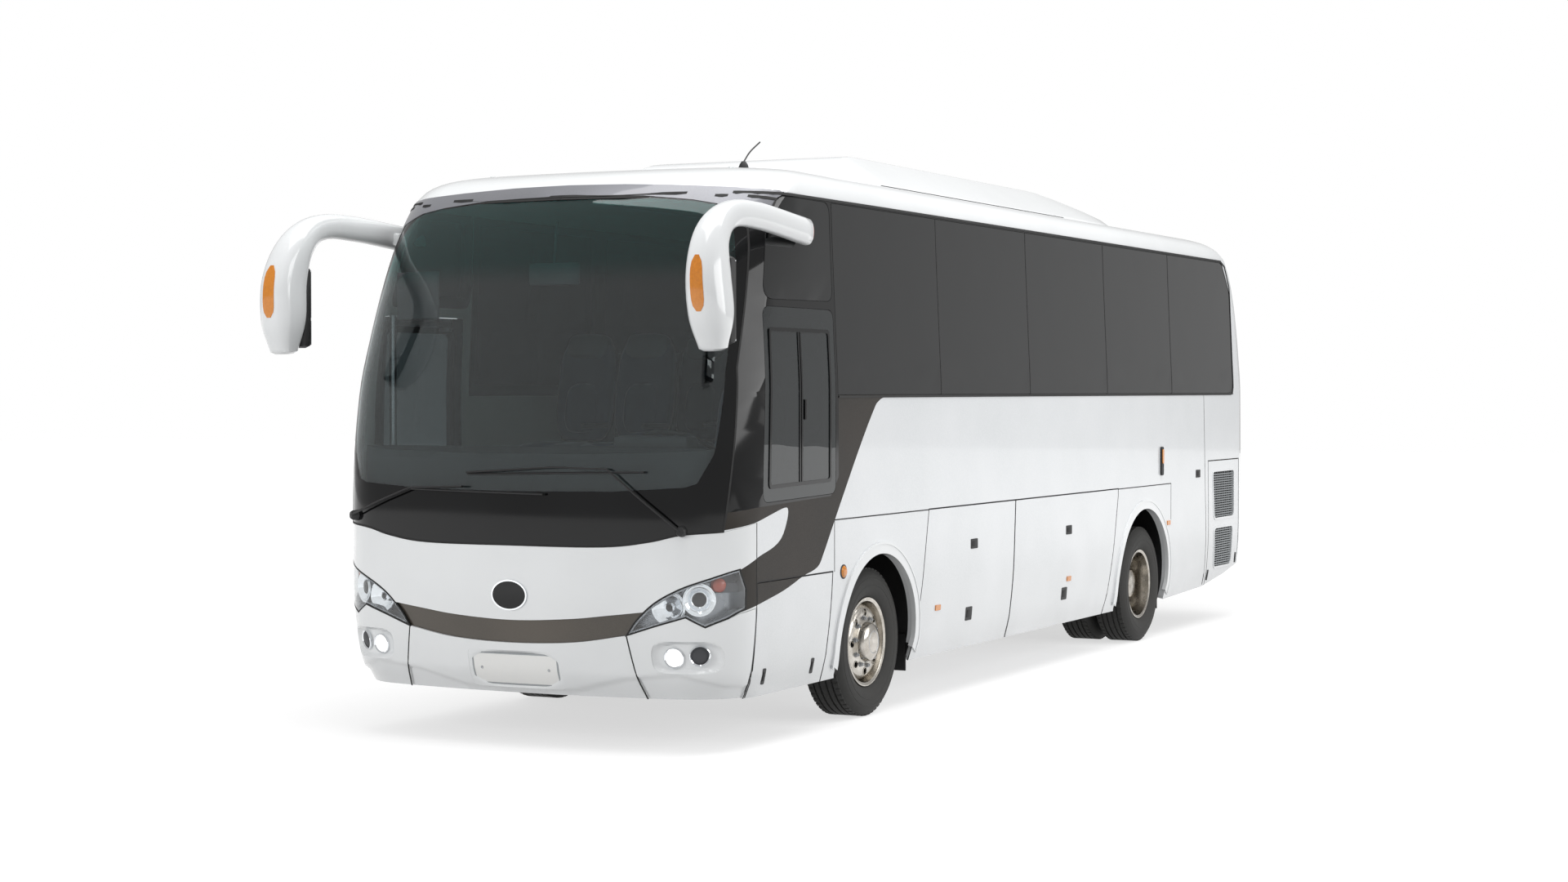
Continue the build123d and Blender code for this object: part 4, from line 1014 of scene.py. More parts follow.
def wall_shape(side, holes):
    """A side wall's skin and the window frame behind its glass."""
    cuts = [arch_hole(*arch) for arch in ARCHES] + [SKIRT, *holes]
    glazed = panes + [upper_pane] + ([driver_pane] if side > 0 else [])
    outline = side_loop(REAR_SEAM + SIDE_FRONT, side)
    skin_holes = [side_loop(cut, side) for cut in cuts]
    pane_holes = [grown(side_loop(pane, side)[:-1], 0.0029) for pane in glazed]
    sheet = patch(
        skin, outline, holes=skin_holes + pane_holes, thick=BODY_WALL, step=(0.30, 0.05), back=4,
        zones=[side_loop(BAND, side), swooshes[0 if side > 0 else 1], side_loop(PILLAR, side)],
    )
    frames = []
    for pane in glazed:
        loop = side_loop(pane, side)[:-1]
        frames.append(
            patch(
                skin, grown(loop, 0.01), holes=[grown(loop, -0.055)], thick=0.034, proud=BEHIND_GLASS,
                step=(0.3, 0.2),
            )
        )
    return [(sheet, [enamel, frit, umber, frit, lining]), (joined(frames), abs_black)]


flap_cuts = [grown(points, HALF_GAP) for points in [*LUGGAGE.values(), ENGINE_FLAP]]
left_cuts = flap_cuts + [grown(SERVICE_FLAP, HALF_GAP)]
piece("side_skin_left", "coach", wall_shape(1, left_cuts), ["side_wall_left"])
piece(
    "side_skin_right", "coach", wall_shape(-1, flap_cuts + [grown(DOOR, HALF_GAP)]),
    ["side_wall_right"],
)

# Side glass, flush in its rubber
glazing = []
for side in (1, -1):
    for pane in panes + [upper_pane]:
        sheet = patch(skin, grown(side_loop(pane, side)[:-1], -0.0005), thick=GLASS, step=(0.4, 0.05))
        glazing.append((sheet, privacy_glass))
glazing.append((patch(skin, side_loop(driver_pane)[:-1], thick=GLASS, step=(0.4, 0.05)), driver_glass))
piece("side_glazing", "coach", glazing, ["side_glass"], sharp=40)

# Rubber: joints between panes, the gasket round the band, the windscreen's seal
seals = [screen_seal]
gasket = [
    *[(x, GLASS_TOP + 0.014) for x in (-6.74, 1.150)], (1.225, 2.930), (1.300, 2.835), (1.335, 2.720),
]
band_edge = [
    (-6.74, 2.964), (-6.85, 2.925), (-6.965, 2.76), (-6.973, 2.70), (-6.973, 1.93), (-6.955, 1.885),
    (-6.91, 1.868), (0.60, 1.868),
]
for side in (1, -1):
    for x in JOINTS[:-1]:
        seals.append(skin_strip([(x, BELT), (x, GLASS_TOP)], side, 0.009, proud=0.0012))
    seals.append(skin_strip(band_edge, side, 0.012, 0.006, 0.004))
    seals.append(skin_strip([tuple(p) for p in curve_through(gasket, 5)], side, 0.014, 0.008, 0.006))


def edge_seal(points, side, width=0.005):
    """A thin black edge round an opening in the side."""
    loop = on_side(points, side, HALF_GAP)
    return patch(
        skin, grown(loop, width), holes=[loop, side_loop(SKIRT, side)], thick=0.004, proud=0.0008,
        step=NO_GRID,
    )


for side in (1, -1):
    for points in [*LUGGAGE.values(), ENGINE_FLAP]:
        seals.append(edge_seal(points, side))
seals.append(edge_seal(SERVICE_FLAP, 1))
seals.append(edge_seal(DOOR, -1, 0.012))

# Seams between the body's panels: width, then the line on the side
SIDE_SEAMS = (
    (0.006, [(1.593, 0.285), (1.590, 0.890), (1.590, 1.208)]),
    (0.007, [(0.655, 1.180), (-0.663, 1.180)]),
    (0.007, [(-4.100, 1.180), (-5.330, 1.180)]),
    (0.006, [(-5.330, 1.180), (-5.330, 0.900)]),
    (0.006, [(-6.163, 1.866), (-6.262, 0.327)]),
    (0.006, [(0.655, 1.174), (0.655, 0.890)]),
)
BUMPER_SEAM = [(0.680, 0.622), (0.712, 0.449), (0.746, 0.285)]
for side in (1, -1):
    seals += [skin_strip(line, side, width) for width, line in SIDE_SEAMS]
    seals.append(skin_strip(BUMPER_SEAM, side, 0.007, proud=0.001, along=from_front))
piece("body_seals", "coach", [(joined(seals), rubber)], sharp=50)

# Roof: one moulding, built ring by ring up to its crown
crown = np.concatenate(
    [
        SECTIONS[9:],
        [(3.172, 1.950, 1.000, 2.000), (3.1735, 2.300, 1.200, 2.300), (3.174, 2.500, 1.249, 2.500)],
    ]
)
lengths = np.concatenate([[0], np.cumsum(np.linalg.norm(np.diff(crown[:, (0, 2)], axis=0), axis=1))])
stations = np.linspace(0, lengths[-1], 46)
levels = [smooth(stations, lengths, crown[:, i]) for i in range(4)]


def plan_ring(z, nose_back, side_in, tail_in):
    """One closed plan outline of the roof, from its setbacks."""
    nose, half, tail = NOSE - nose_back, HALF - side_in, TAIL + tail_in
    corner = min(FRONT_CORNER, 0.9 * half)
    rear = min(REAR_CORNER + 0.3 * side_in, 0.9 * half)
    centre_y = half - corner
    centre_x = nose - BOW + math.sqrt((BOW - corner) ** 2 - centre_y ** 2)
    turn = math.asin(centre_y / (BOW - corner))
    bow = [(nose - BOW + BOW * math.cos(t), BOW * math.sin(t)) for t in np.linspace(0, turn, 14)]
    bend = [
        (centre_x + corner * math.cos(t), centre_y + corner * math.sin(t))
        for t in np.linspace(turn, math.pi / 2, 14)[1:]
    ]
    flank = [(x, half) for x in np.linspace(centre_x, tail + rear, 30)[1:]]
    back = [
        (tail + rear + rear * math.cos(t), half - rear + rear * math.sin(t))
        for t in np.linspace(math.pi / 2, math.pi, 10)[1:]
    ]
    end = [(tail, y) for y in np.linspace(half - rear, 0, 8)[1:]]
    left = bow + bend + flank + back + end
    return [(x, y, z) for x, y in left] + [(x, -y, z) for x, y in left[-2:0:-1]]


top_rows = [plan_ring(*row) for row in zip(*levels)]
foot_row = [float(smooth(np.array([ROOF_LINE]), SECTIONS[:, 0], SECTIONS[:, i])[0]) for i in (1, 2, 3)]
roof_outer = np.array([plan_ring(ROOF_LINE, *foot_row), *top_rows])
inner_rows = roof_outer * (0.985, 0.962, 1) - (0, 0, 0.035)
roof_shell = loft(np.concatenate([roof_outer, inner_rows[::-1]]), closed=False)
inner_from = len(roof_outer) * len(roof_outer[0])
roof_shell.slots = [1 if min(f) >= inner_from else 0 for f in roof_shell.faces]
piece("roof_moulding", "coach", [(roof_shell, [gel_coat, lining])], ["roof"], sharp=45)

# Flaps

def slab(x, z, width, height, side, proud, thick, radius=0.008):
    """A small rounded plate on the side, centred ahead of the front axle and at a height."""
    corners = oblong(x - width / 2, x + width / 2, z - height / 2, z + height / 2)
    return patch(
        skin, on_side(rounded(corners, radius, 4), side), thick=thick, proud=proud, step=NO_GRID,
    )


# Width and height of the latches
WIDE_LATCH, LOW_LATCH, TALL_LATCH = (0.110, 0.062), (0.100, 0.085), (0.034, 0.085)


def latch(x, z, width, height, side):
    """A flush slam latch: a black plate and its push button."""
    plate = slab(x, z, width, height, side, 0.003, 0.006)
    button = slab(x + 0.12 * width, z, 0.42 * min(width, 0.1), 0.55 * height, side, 0.005, 0.006, 0.004)
    return [(plate, abs_black), (button, rubber)]


def marker(x, z, side):
    """An amber side marker lamp."""
    return slab(x, z, 0.075, 0.034, side, 0.006, 0.008, 0.004), amber


# Folded sheet behind a flap's skin
FOLD_THICK, FOLD_PROUD = 0.0135, -0.0155


def flap_body(points, side, zones=()):
    """A flap's painted skin, its folded inner frame and stiffening ribs."""
    loop = on_side(points, side, -HALF_GAP)
    skirt = side_loop(SKIRT, side)
    sheet = patch(skin, loop, holes=[skirt], zones=zones, thick=FLAP_WALL, step=(0.12, 0.05), back=0)
    frame_in = patch(
        skin, grown(loop, -0.010), holes=[grown(loop, -0.055), grown(skirt[:-1], 0.02)],
        thick=FOLD_THICK, proud=FOLD_PROUD, step=(0.2, 0.1),
    )
    low, high = np.array(loop).min(0), np.array(loop).max(0)
    ribs = []
    for share in (0.34, 0.66):
        s = low[0] + share * (high[0] - low[0])
        top, foot = high[1] - 0.06, max(low[1], 0.30) + 0.06
        ribs.append(
            patch(
                skin, oblong(s - 0.03, s + 0.03, foot, top), thick=FOLD_THICK, proud=FOLD_PROUD,
                step=(1, 0.1),
            )
        )
    return [(sheet, [enamel, umber]), (joined([frame_in, *ribs]), enamel)]


for side, name in ((1, "left"), (-1, "right")):
    for place, x, marker_at in (("front", -1.370, (-0.812, 0.573)), ("rear", -3.076, (-3.093, 0.595))):
        flap = f"luggage_flap_{name}_{place}"
        parts = flap_body(LUGGAGE[place], side) + latch(x, 0.935, *WIDE_LATCH, side)
        parts += [*latch(x + 0.055, 0.496, *LOW_LATCH, side), marker(*marker_at, side)]
        piece(f"{flap}_skin", flap, parts, [flap])
service = flap_body(SERVICE_FLAP, 1, [swooshes[0]])
for x in (0.884, 1.461):
    service += latch(x, 0.386, *TALL_LATCH, 1)
piece("service_flap_skin", "service_flap_left", service, ["service_flap_left"])

# Engine flaps: two mesh grilles in white surrounds
GRILLES = [
    [(-7.000, 0.855), (-6.455, 0.855), (-6.410, 1.240), (-7.000, 1.240)],
    [(-6.963, 0.454), (-6.495, 0.454), (-6.455, 0.776), (-6.963, 0.776)],
]
grille_outlines = [rounded(points, 0.045) for points in GRILLES]
for side, name in ((1, "left"), (-1, "right")):
    loop = on_side(ENGINE_FLAP, side, -HALF_GAP)
    openings = [on_side(points, side) for points in grille_outlines]
    sheet = patch(
        skin, loop, holes=[side_loop(SKIRT, side), *openings], thick=FLAP_WALL, step=(0.08, 0.05),
    )
    rims = [
        patch(skin, grown(o, 0.014), holes=[grown(o, -0.004)], thick=0.022, proud=0.004, step=NO_GRID)
        for o in openings
    ]
    # A solid black sheet behind each grille: painted shade standing in for the dark engine bay behind
    # it
    grille_shade_sheets = [patch(skin, grown(o, 0.006), thick=0.005, proud=-0.020, step=(0.1, 0.1)) for o in openings]
    slats = []
    for points in GRILLES:
        low, high = points[0][1], points[2][1]
        for z in np.arange(low + 0.016, high - 0.008, 0.019):
            lean = (points[2][0] - points[1][0]) * (z - low) / (high - low)
            front = points[1][0] + lean - 0.006
            bar = oblong(points[0][0] + 0.006, front, z - 0.0045, z + 0.0045)
            slats.append(patch(skin, on_side(bar, side), thick=0.012, proud=-0.003, step=(0.3, 1)))
        for x in np.arange(points[0][0] + 0.05, points[1][0] - 0.01, 0.062):
            post = oblong(x - 0.003, x + 0.003, low + 0.004, high - 0.004)
            slats.append(patch(skin, on_side(post, side), thick=0.006, proud=-0.008, step=(1, 0.1)))
    parts = [(joined([sheet, *rims]), enamel), (joined(slats), anodised), (joined(grille_shade_sheets), abs_black)]
    parts += latch(-6.350, 0.400, *TALL_LATCH, side) + latch(-7.085, 0.500, *TALL_LATCH, side)
    piece(
        f"engine_flap_{name}_skin", f"engine_flap_{name}", parts, [f"engine_flap_{name}"],
    )

# Arch lips: broad raised mouldings with a bead near the outer edge
lips = []
for x, radius in ARCHES:
    for side in (1, -1):
        turns = np.linspace(-0.16, math.pi + 0.16, 61)
        middle = [
            (x + (radius + 0.030) * math.cos(t), AXLE_Z + (radius + 0.030) * math.sin(t))
            for t in turns
        ]
        outer = patch(
            skin, strip(from_side(middle, side, 1), 0.066), holes=[side_loop(SKIRT, side)], thick=0.030,
            proud=0.009, step=NO_GRID,
        )
        bead_line = [
            (x + (radius + 0.058) * math.cos(t), AXLE_Z + (radius + 0.058) * math.sin(t))
            for t in turns
        ]
        bead = patch(
            skin, strip(from_side(bead_line, side, 1), 0.012), holes=[side_loop(SKIRT, side)],
            thick=0.010, proud=0.0125, step=NO_GRID,
        )
        lips += [outer, bead]
piece("arch_lips", "coach", [(joined(lips), gel_coat)], sharp=40)

# Markers, catches and fittings on the walls
fittings = []
for side in (1, -1):
    fittings += latch(-6.016, 1.235, *WIDE_LATCH, side)
    fittings.append(marker(-5.271, 0.878, side))
    fittings.append((slab(-5.090, 1.360, 0.052, 0.220, side, 0.014, 0.016, 0.024), abs_black))
    fittings.append((slab(-5.090, 1.395, 0.032, 0.110, side, 0.020, 0.010, 0.014), amber))
    ring_place = skin(*np.array(from_side([(0.540, 0.883), (0.541, 0.883)], side)[0]))
    round_lamp = spin(
        [(0, 0.016), (0.024, 0.013), (0.034, 0.005), (0.036, -0.004), (0, -0.004)],
        facing(ring_place, (0, side, 0)), 32,
    )
    collar = spin(
        [(0.035, -0.003), (0.041, -0.003), (0.041, 0.003), (0.035, 0.005)],
        facing(ring_place, (0, side, 0)), 32,
    )
    fittings += [(round_lamp, amber), (collar, abs_black)]
piece("wall_fittings", "coach", fittings)

# Frame of the driver's sliding window, with its two bars and its pull
window_frame = [(0.700, 1.395), (1.455, 1.380), (1.428, 2.240), (0.700, 2.240)]
slider = [
    patch(
        skin, on_side(rounded(window_frame, 0.03), 1),
        holes=[on_side(rounded(grown(window_frame, -0.020), 0.02), 1)], thick=0.012, proud=0.005,
        step=NO_GRID,
    )
]
for x in (1.060, 1.085):
    slider.append(skin_strip([(x, 1.402), (x, 2.222)], 1, 0.014, 0.010, 0.004))
slider.append(slab(1.030, 1.800, 0.020, 0.110, 1, 0.010, 0.008, 0.006))
piece("driver_slider_frame", "coach", [(joined(slider), frit)])

# Rear end

def to_rear(line, side):
    """A line on the side's skin as places on the rear skin."""
    return [(-side * (float(half_girth(z)) - abs(s)), z) for s, z in line]


def on_rear(points, gap=0.0):
    """A closed rear outline on the rear skin, moved outwards by gap."""
    return grown(from_rear(ring(points))[:-1], gap)


def rear_part(left, right, low, high, radius, thick, proud, step=NO_GRID):
    """A small plate on the tail, with its corners rounded or square."""
    corners = oblong(left, right, low, high)
    outline = on_rear(rounded(corners, radius) if radius else corners)
    return patch(rear_skin, outline, thick=thick, proud=proud, step=step)


ENGINE_DOOR = oblong(-0.800, 0.800, 0.660, 1.600)
REAR_WINDOW = [(-0.960, 1.980), (0.960, 1.980), (0.900, 2.720), (-0.900, 2.720)]
REAR_LAMP = [(0.985, 0.800), (1.170, 0.800), (1.170, 1.520), (1.040, 1.520), (0.985, 1.400)]
rear_lamps = [REAR_LAMP, mirrored_line(REAR_LAMP)]
seam_left = to_rear(from_side([(-7.150, 0.642), *REAR_SEAM[1:]], 1), 1)
rear_outline = finer(ring([*seam_left, *mirrored_line(seam_left)]), 0.05)[:-1]
rear_cuts = [
    on_rear(ENGINE_DOOR, HALF_GAP), on_rear(REAR_WINDOW, 0.003),
    *[on_rear(points, HALF_GAP) for points in rear_lamps],
]
rear_surround = on_rear(rounded([(-1.02, 1.93), (1.02, 1.93), (0.955, 2.785), (-0.955, 2.785)], 0.10))
rear_sheet = patch(
    rear_skin, grown(rear_outline, -0.001), holes=rear_cuts, zones=[rear_surround], thick=BODY_WALL,
    step=(0.08, 0.05), back=2,
)
piece("rear_panel_skin", "coach", [(rear_sheet, [gel_coat, frit, lining])], ["rear_panel"])
seam_low = to_rear(from_side([(-7.150, 0.452), (-7.150, 0.638)], 1), 1)
bumper_sheet = patch(
    rear_skin, finer(ring([*seam_low, *mirrored_line(seam_low)]), 0.05)[:-1], thick=BODY_WALL,
    step=(0.06, 0.012), back=1, proud=lambda q, z: -0.010 * np.clip((0.520 - z) / 0.02, 0, 1),
)
reflexes = [rear_part(y - 0.075, y + 0.075, 0.565, 0.605, 0.012, 0.006, 0.002) for y in (-0.9, 0.9)]
piece(
    "rear_bumper_skin", "coach", [(bumper_sheet, [gel_coat, abs_grey]), (joined(reflexes), signal_red)],
    ["rear_bumper"],
)
window_loop = on_rear(rounded(REAR_WINDOW, 0.07))
rear_pane = patch(
    rear_skin, grown(window_loop, -0.0005), zones=[grown(window_loop, -0.045)], thick=GLASS,
    step=(0.10, 0.05),
)
piece(
    "rear_window_glass", "coach", [(rear_pane, [frit, privacy_glass])], ["rear_window"],
    sharp=40,
)
lenses = []
for points in rear_lamps:
    middle = np.mean([p[0] for p in points])
    way = 1 if middle > 0 else -1
    upper, lower = [
        on_rear(oblong(way * 0.95, way * 1.20, *span))
        for span in ((1.290, 1.560), (0.760, 0.955))
    ]
    lens = patch(
        rear_skin, on_rear(points, -0.001), zones=[upper, lower], thick=0.030, proud=-0.003,
        step=(0.03, 0.02),
    )
    lenses.append((lens, [signal_red, amber, reflector]))
    for z in (0.955, 1.120, 1.290, 1.415):
        rib = rear_part(way * 0.988, way * 1.168, z - 0.003, z + 0.003, 0, 0.004, -0.001)
        lenses.append((rib, abs_black))
piece("rear_lamp_clusters", "coach", lenses, ["rear_lamps"])
brake = rear_part(-0.22, 0.22, 2.815, 2.845, 0.012, 0.008, 0.006, (0.1, 1))
piece("high_brake_lamp", "coach", [(brake, signal_red)])

# Engine door: a louvred panel, a blank plate in its recess and two locks
VENT_SPANS = ((-0.640, -0.060), (0.060, 0.640))
vent_loops = [on_rear(rounded(oblong(*span, 1.180, 1.500), 0.03)) for span in VENT_SPANS]
door_sheet = patch(
    rear_skin, on_rear(ENGINE_DOOR, -HALF_GAP), holes=vent_loops, thick=0.028, step=(0.08, 0.05),
)
louvres = []
for low_y, high_y in VENT_SPANS:
    for z in np.arange(1.198, 1.495, 0.026):
        louvres.append(
            rear_part(low_y + 0.004, high_y - 0.004, z - 0.008, z + 0.008, 0, 0.016, -0.001, (0.1, 1))
        )
# A solid black sheet behind each vent: painted shade standing in for the dark engine bay behind the
# louvres
vent_shade_sheets = [
    patch(rear_skin, grown(loop, 0.005), thick=0.004, proud=-0.022, step=(0.1, 0.1))
    for loop in vent_loops
]
rear_plate = rear_part(-0.260, 0.260, 0.740, 0.850, 0.012, 0.004, 0.0035, (0.1, 1))
plate_frame = rear_part(-0.272, 0.272, 0.728, 0.862, 0.016, 0.003, 0.002, (0.1, 1))
locks = [rear_part(y - 0.055, y + 0.055, 0.690, 0.725, 0.008, 0.008, 0.002) for y in (-0.55, 0.55)]
piece(
    "engine_door_skin", "engine_door",
    [
        (door_sheet, enamel), (joined(louvres), enamel),
        (joined(vent_shade_sheets + [plate_frame] + locks), abs_black), (rear_plate, plate_sheet),
    ],
    ["engine_door"],
)

# Passenger door on the right: a black frame with two panes, its hinge lugs and pins
pane_loops = [on_side(rounded(points, 0.05), -1, 0.030) for points in DOOR_PANES]
leaf = patch(
    skin, on_side(DOOR, -1, -HALF_GAP), holes=[grown(loop, 0.0025) for loop in pane_loops], thick=0.040,
    step=(0.06, 0.06),
)
inner_frames = [
    patch(
        skin, grown(loop, 0.008), holes=[grown(loop, -0.034)], thick=0.026, proud=BEHIND_GLASS,
        step=(0.2, 0.2),
    )
    for loop in pane_loops
]
hinges = []
for level in (1.280, 2.285):
    for way in (-1, 1):
        low = level + way * 0.016
        hinges.append(
            body_block(0.904, 0.936, (-1.208, -1.124), sorted((low, low + way * 0.020)), 0.002)
        )
    hinges.append(rod([(AXLE_X + 0.920, -1.140, level + end) for end in (-0.030, 0.030)], 0.0078, 16))
grip_line = [
    (AXLE_X + 1.515, -1.205, 0.80), (AXLE_X + 1.515, -1.150, 0.84), (AXLE_X + 1.515, -1.150, 1.32),
    (AXLE_X + 1.515, -1.205, 1.36),
]
piece(
    "passenger_door_leaf", "passenger_door",
    [
        (leaf, frit), (joined(inner_frames), abs_black), (joined(hinges), zinc),
        (rod(curve_through(grip_line, 6), 0.011), zinc), *latch(1.450, 1.285, 0.090, 0.050, -1),
    ],
    ["passenger_door"],
)
door_panes = [patch(skin, grown(loop, -0.0005), thick=GLASS, step=(0.3, 0.06)) for loop in pane_loops]
piece(
    "passenger_door_panes", "passenger_door", [(joined(door_panes), driver_glass)], ["door_glass"],
    sharp=40,
)

# Front lamps, emblem, plate and wipers

def on_skin(y, z, depth=0.0):
    """Matrix at a place on the nose, seen from the front, with local Z along the outward normal."""
    s, z = from_front([(y, z), (y + 1e-6, z)])[0]
    normal = outward(skin, s, z)
    return facing(skin(s, z) - normal * depth, normal)


cover = patch(skin, grown(lamp_outline, -0.001), thick=0.004, step=(0.03, 0.02))
wall = patch(
    skin, grown(lamp_outline, -0.002), holes=[grown(lamp_outline, -0.012)], thick=0.075, proud=-0.006,
    step=NO_GRID,
)
floor_sheet = patch(skin, grown(lamp_outline, -0.004), thick=0.004, proud=-0.076, step=(0.03, 0.02))
bowls, domes = [], []
for y, z, r, dome in ((0.905, 0.773, 0.078, 0.016), (1.072, 0.815, 0.072, 0.036)):
    seat = on_skin(y, z, 0.030)
    bowls.append(
        spin(
            [
                (0, -0.044), (0.4 * r, -0.038), (0.75 * r, -0.022), (r, 0.0), (r + 0.007, 0.003),
                (r + 0.007, -0.006), (0.7 * r, -0.034), (0, -0.052),
            ],
            seat, 48,
        )
    )
    bowls.append(
        spin(
            [(r + 0.006, -0.004), (r + 0.014, -0.002), (r + 0.016, -0.040), (r + 0.006, -0.040)], seat,
            48,
        )
    )
    bowls.append(
        spin(
            [
                (dome + 0.001, -0.036), (dome + 0.001, -0.012), (dome + 0.005, -0.009),
                (dome + 0.009, -0.014), (dome + 0.009, -0.036),
            ],
            seat, 40,
        )
    )
    domes.append(
        spin(
            [(0, -0.002), (0.55 * dome, -0.005), (0.9 * dome, -0.014), (dome, -0.034), (0, -0.034)],
            seat, 32,
        )
    )
corner_lamp = spin(
    [(0, 0.010), (0.022, 0.006), (0.036, -0.006), (0.040, -0.026), (0, -0.026)],
    on_skin(1.165, 0.890, 0.036), 32,
)
lamp_seal = patch(
    skin, grown(lamp_outline, 0.0035), holes=[grown(lamp_outline, -0.0045)], thick=0.012, proud=0.0012,
    step=NO_GRID,
)
piece("headlamp_seals", "coach", [(both(lamp_seal), rubber)])
piece(
    "headlamp_units", "coach",
    [
        (both(cover), lens_clear), (both(joined(bowls)), reflector),
        (both(joined([wall, floor_sheet])), lamp_grey), (both(joined(domes)), frit),
        (both(corner_lamp), orange_red),
    ],
    ["front_lamps"], sharp=35,
)
fog_rings, fog_lit, fog_dark = [], [], []
for y, z, lens_parts in ((0.925, 0.508, fog_lit), (1.062, 0.520, fog_dark)):
    seat = on_skin(y, z, 0.024)
    fog_rings.append(
        spin(
            [(0.046, -0.006), (0.055, -0.006), (0.056, 0.006), (0.052, 0.010), (0.046, 0.004)], seat,
            40,
        )
    )
    lens_parts.append(
        spin([(0, 0.009), (0.024, 0.007), (0.040, 0.002), (0.047, -0.004), (0, -0.004)], seat, 40)
    )
piece(
    "fog_lamps", "coach",
    [
        (both(joined(fog_rings)), reflector), (both(joined(fog_lit)), lit),
        (both(joined(fog_dark)), abs_grey),
    ],
)

EMBLEM_Z = 0.820
emblem_line = front_loop(circle(0.0, EMBLEM_Z, 0.110, 48, 0.74), 1)
emblem = patch(
    skin, grown(emblem_line, -0.007), thick=0.010,
    proud=lambda s, z: 0.009 - 0.15 * (s * s + (z - EMBLEM_Z) ** 2), step=(0.02, 0.02),
)
emblem_ring = patch(
    skin, emblem_line, holes=[grown(emblem_line, -0.008)], thick=0.014, proud=0.010, step=NO_GRID,
)
piece("bare_emblem", "coach", [(emblem, frit), (emblem_ring, reflector)])
blank_loop = front_loop(rounded(oblong(-0.262, 0.262, 0.336, 0.500), 0.014))
blank = patch(skin, blank_loop, thick=0.004, proud=-0.006, step=(0.08, 0.05))
blank_rim = patch(
    skin, grown(blank_loop, 0.007), holes=[grown(blank_loop, -0.001)], thick=0.008, proud=-0.004,
    step=NO_GRID,
)
screws = [
    spin(
        [(0, 0.004), (0.006, 0.003), (0.008, 0.0), (0.008, -0.004), (0, -0.004)],
        on_skin(y, 0.420, 0.005), 16,
    )
    for y in (-0.21, 0.21)
]
piece(
    "blank_plate", "coach", [(blank, plate_sheet), (blank_rim, anodised), (joined(screws), zinc)],
)


def off_screen(points, height):
    """A line in front of the windscreen, from (to the left, height) points, that far off the glass."""
    s, z = np.array(from_front(points, step=0.06)).T
    return skin(s, z) + outward(skin, s, z) * height


wiper_arms, wiper_blades = [], []
for arm, blade in (
    (
        [(-1.080, 1.215), (-0.860, 1.300), (-0.633, 1.378), (-0.279, 1.390)],
        [(-0.633, 1.372), (0.220, 1.357)],
    ),
    (
        [(0.990, 1.175), (0.790, 1.330), (0.588, 1.492), (0.281, 1.499), (-0.253, 1.466)],
        [(-0.253, 1.458), (0.792, 1.479)],
    ),
):
    wiper_arms.append(rod(off_screen(arm, 0.034), 0.009, 10, 0.6))
    wiper_arms.append(
        spin([(0, 0.040), (0.020, 0.040), (0.026, 0.030), (0.030, 0.0), (0, 0.0)], on_skin(*arm[0]), 24)
    )
    wiper_arms.append(rod(off_screen(blade, 0.024), 0.007, 8, 0.8))
    wiper_blades.append(skin_strip(blade, 1, 0.012, 0.018, 0.019, from_front))
piece(
    "wipers", "coach", [(joined(wiper_arms), abs_black), (joined(wiper_blades), rubber)],
)

# Mirrors

# Each row: behind the front, out from the side, height, lean in degrees, half height and half width
MIRROR_ROWS = [
    (1.311, 0.0143, 2.765, 0, 0.075, 0.050), (0.722, 0.035, 2.812, 0, 0.072, 0.048),
    (0.402, 0.038, 2.800, 20, 0.074, 0.052), (0.212, 0.042, 2.690, 50, 0.100, 0.080),
    (0.1315, 0.060, 2.500, 85, 0.132, 0.100), (0.137, 0.072, 2.280, 95, 0.125, 0.105),
    (0.147, 0.078, 2.115, 95, 0.070, 0.070),
]


def mirror_ring(row, scale=0.985, turns=None):
    """A soft oval across the mirror's path."""
    behind, out, z, tilt, high, wide = row
    slope = math.radians(tilt)
    centre = np.array((MIRROR_FRONT - behind, HALF + out, z))
    up = np.array((math.sin(slope), 0, math.cos(slope)))
    turns = np.arange(36) * 2 * math.pi / 36 if turns is None else turns
    return [
        centre + scale * high * math.copysign(abs(math.cos(t)) ** 0.8, math.cos(t)) * up
        + scale * wide * math.copysign(abs(math.sin(t)) ** 0.8, math.sin(t)) * np.array((0, 1, 0))
        for t in turns
    ]


path = curve_through(MIRROR_ROWS, 8)
ends = [
    np.array([*path[0][:4], *path[0][4:] * 0.8]) + (0.014, 0, 0, 0, 0, 0),
    np.array([*path[-1][:2], path[-1][2] - 0.012, path[-1][3], *path[-1][4:] * 0.72]),
]
shell_form = loft([mirror_ring(row) for row in [ends[0], *path, ends[1]]])
strip_rows = [row for row in path if 2.285 < row[2] < 2.560]
arc = np.linspace(-0.27, 0.27, 9)
strip_taper = 1 - 0.75 * abs(np.linspace(-1, 1, len(strip_rows))) ** 5
nose_strip = loft(
    [
        [*mirror_ring(row, 1.0, arc * t), *mirror_ring(row, 0.96, arc[::-1] * t)]
        for row, t in zip(strip_rows, strip_taper)
    ]
)
tail_cap = loft(
    [
        mirror_ring(np.array([path[0][0] + a, *path[0][1:4], *path[0][4:] * b]))
        for a, b in ((0.030, 0.55), (0.024, 0.80), (0.012, 0.86), (0.0, 0.86))
    ]
)
head_x, head_y = MIRROR_FRONT - 0.135 - 0.118, HALF + 0.066
bezel = block((head_x - 0.020, head_x + 0.050), (head_y - 0.088, head_y + 0.088), (2.135, 2.580), 0.030)
mirror_panes = [
    block((head_x - 0.023, head_x - 0.016), (head_y - 0.074, head_y + 0.074), span, 0.003)
    for span in ((2.300, 2.562), (2.152, 2.286))
]
foot = body_block(1.060, 1.340, (HALF - 0.060, HALF + 0.012), (2.735, 2.805), 0.018)
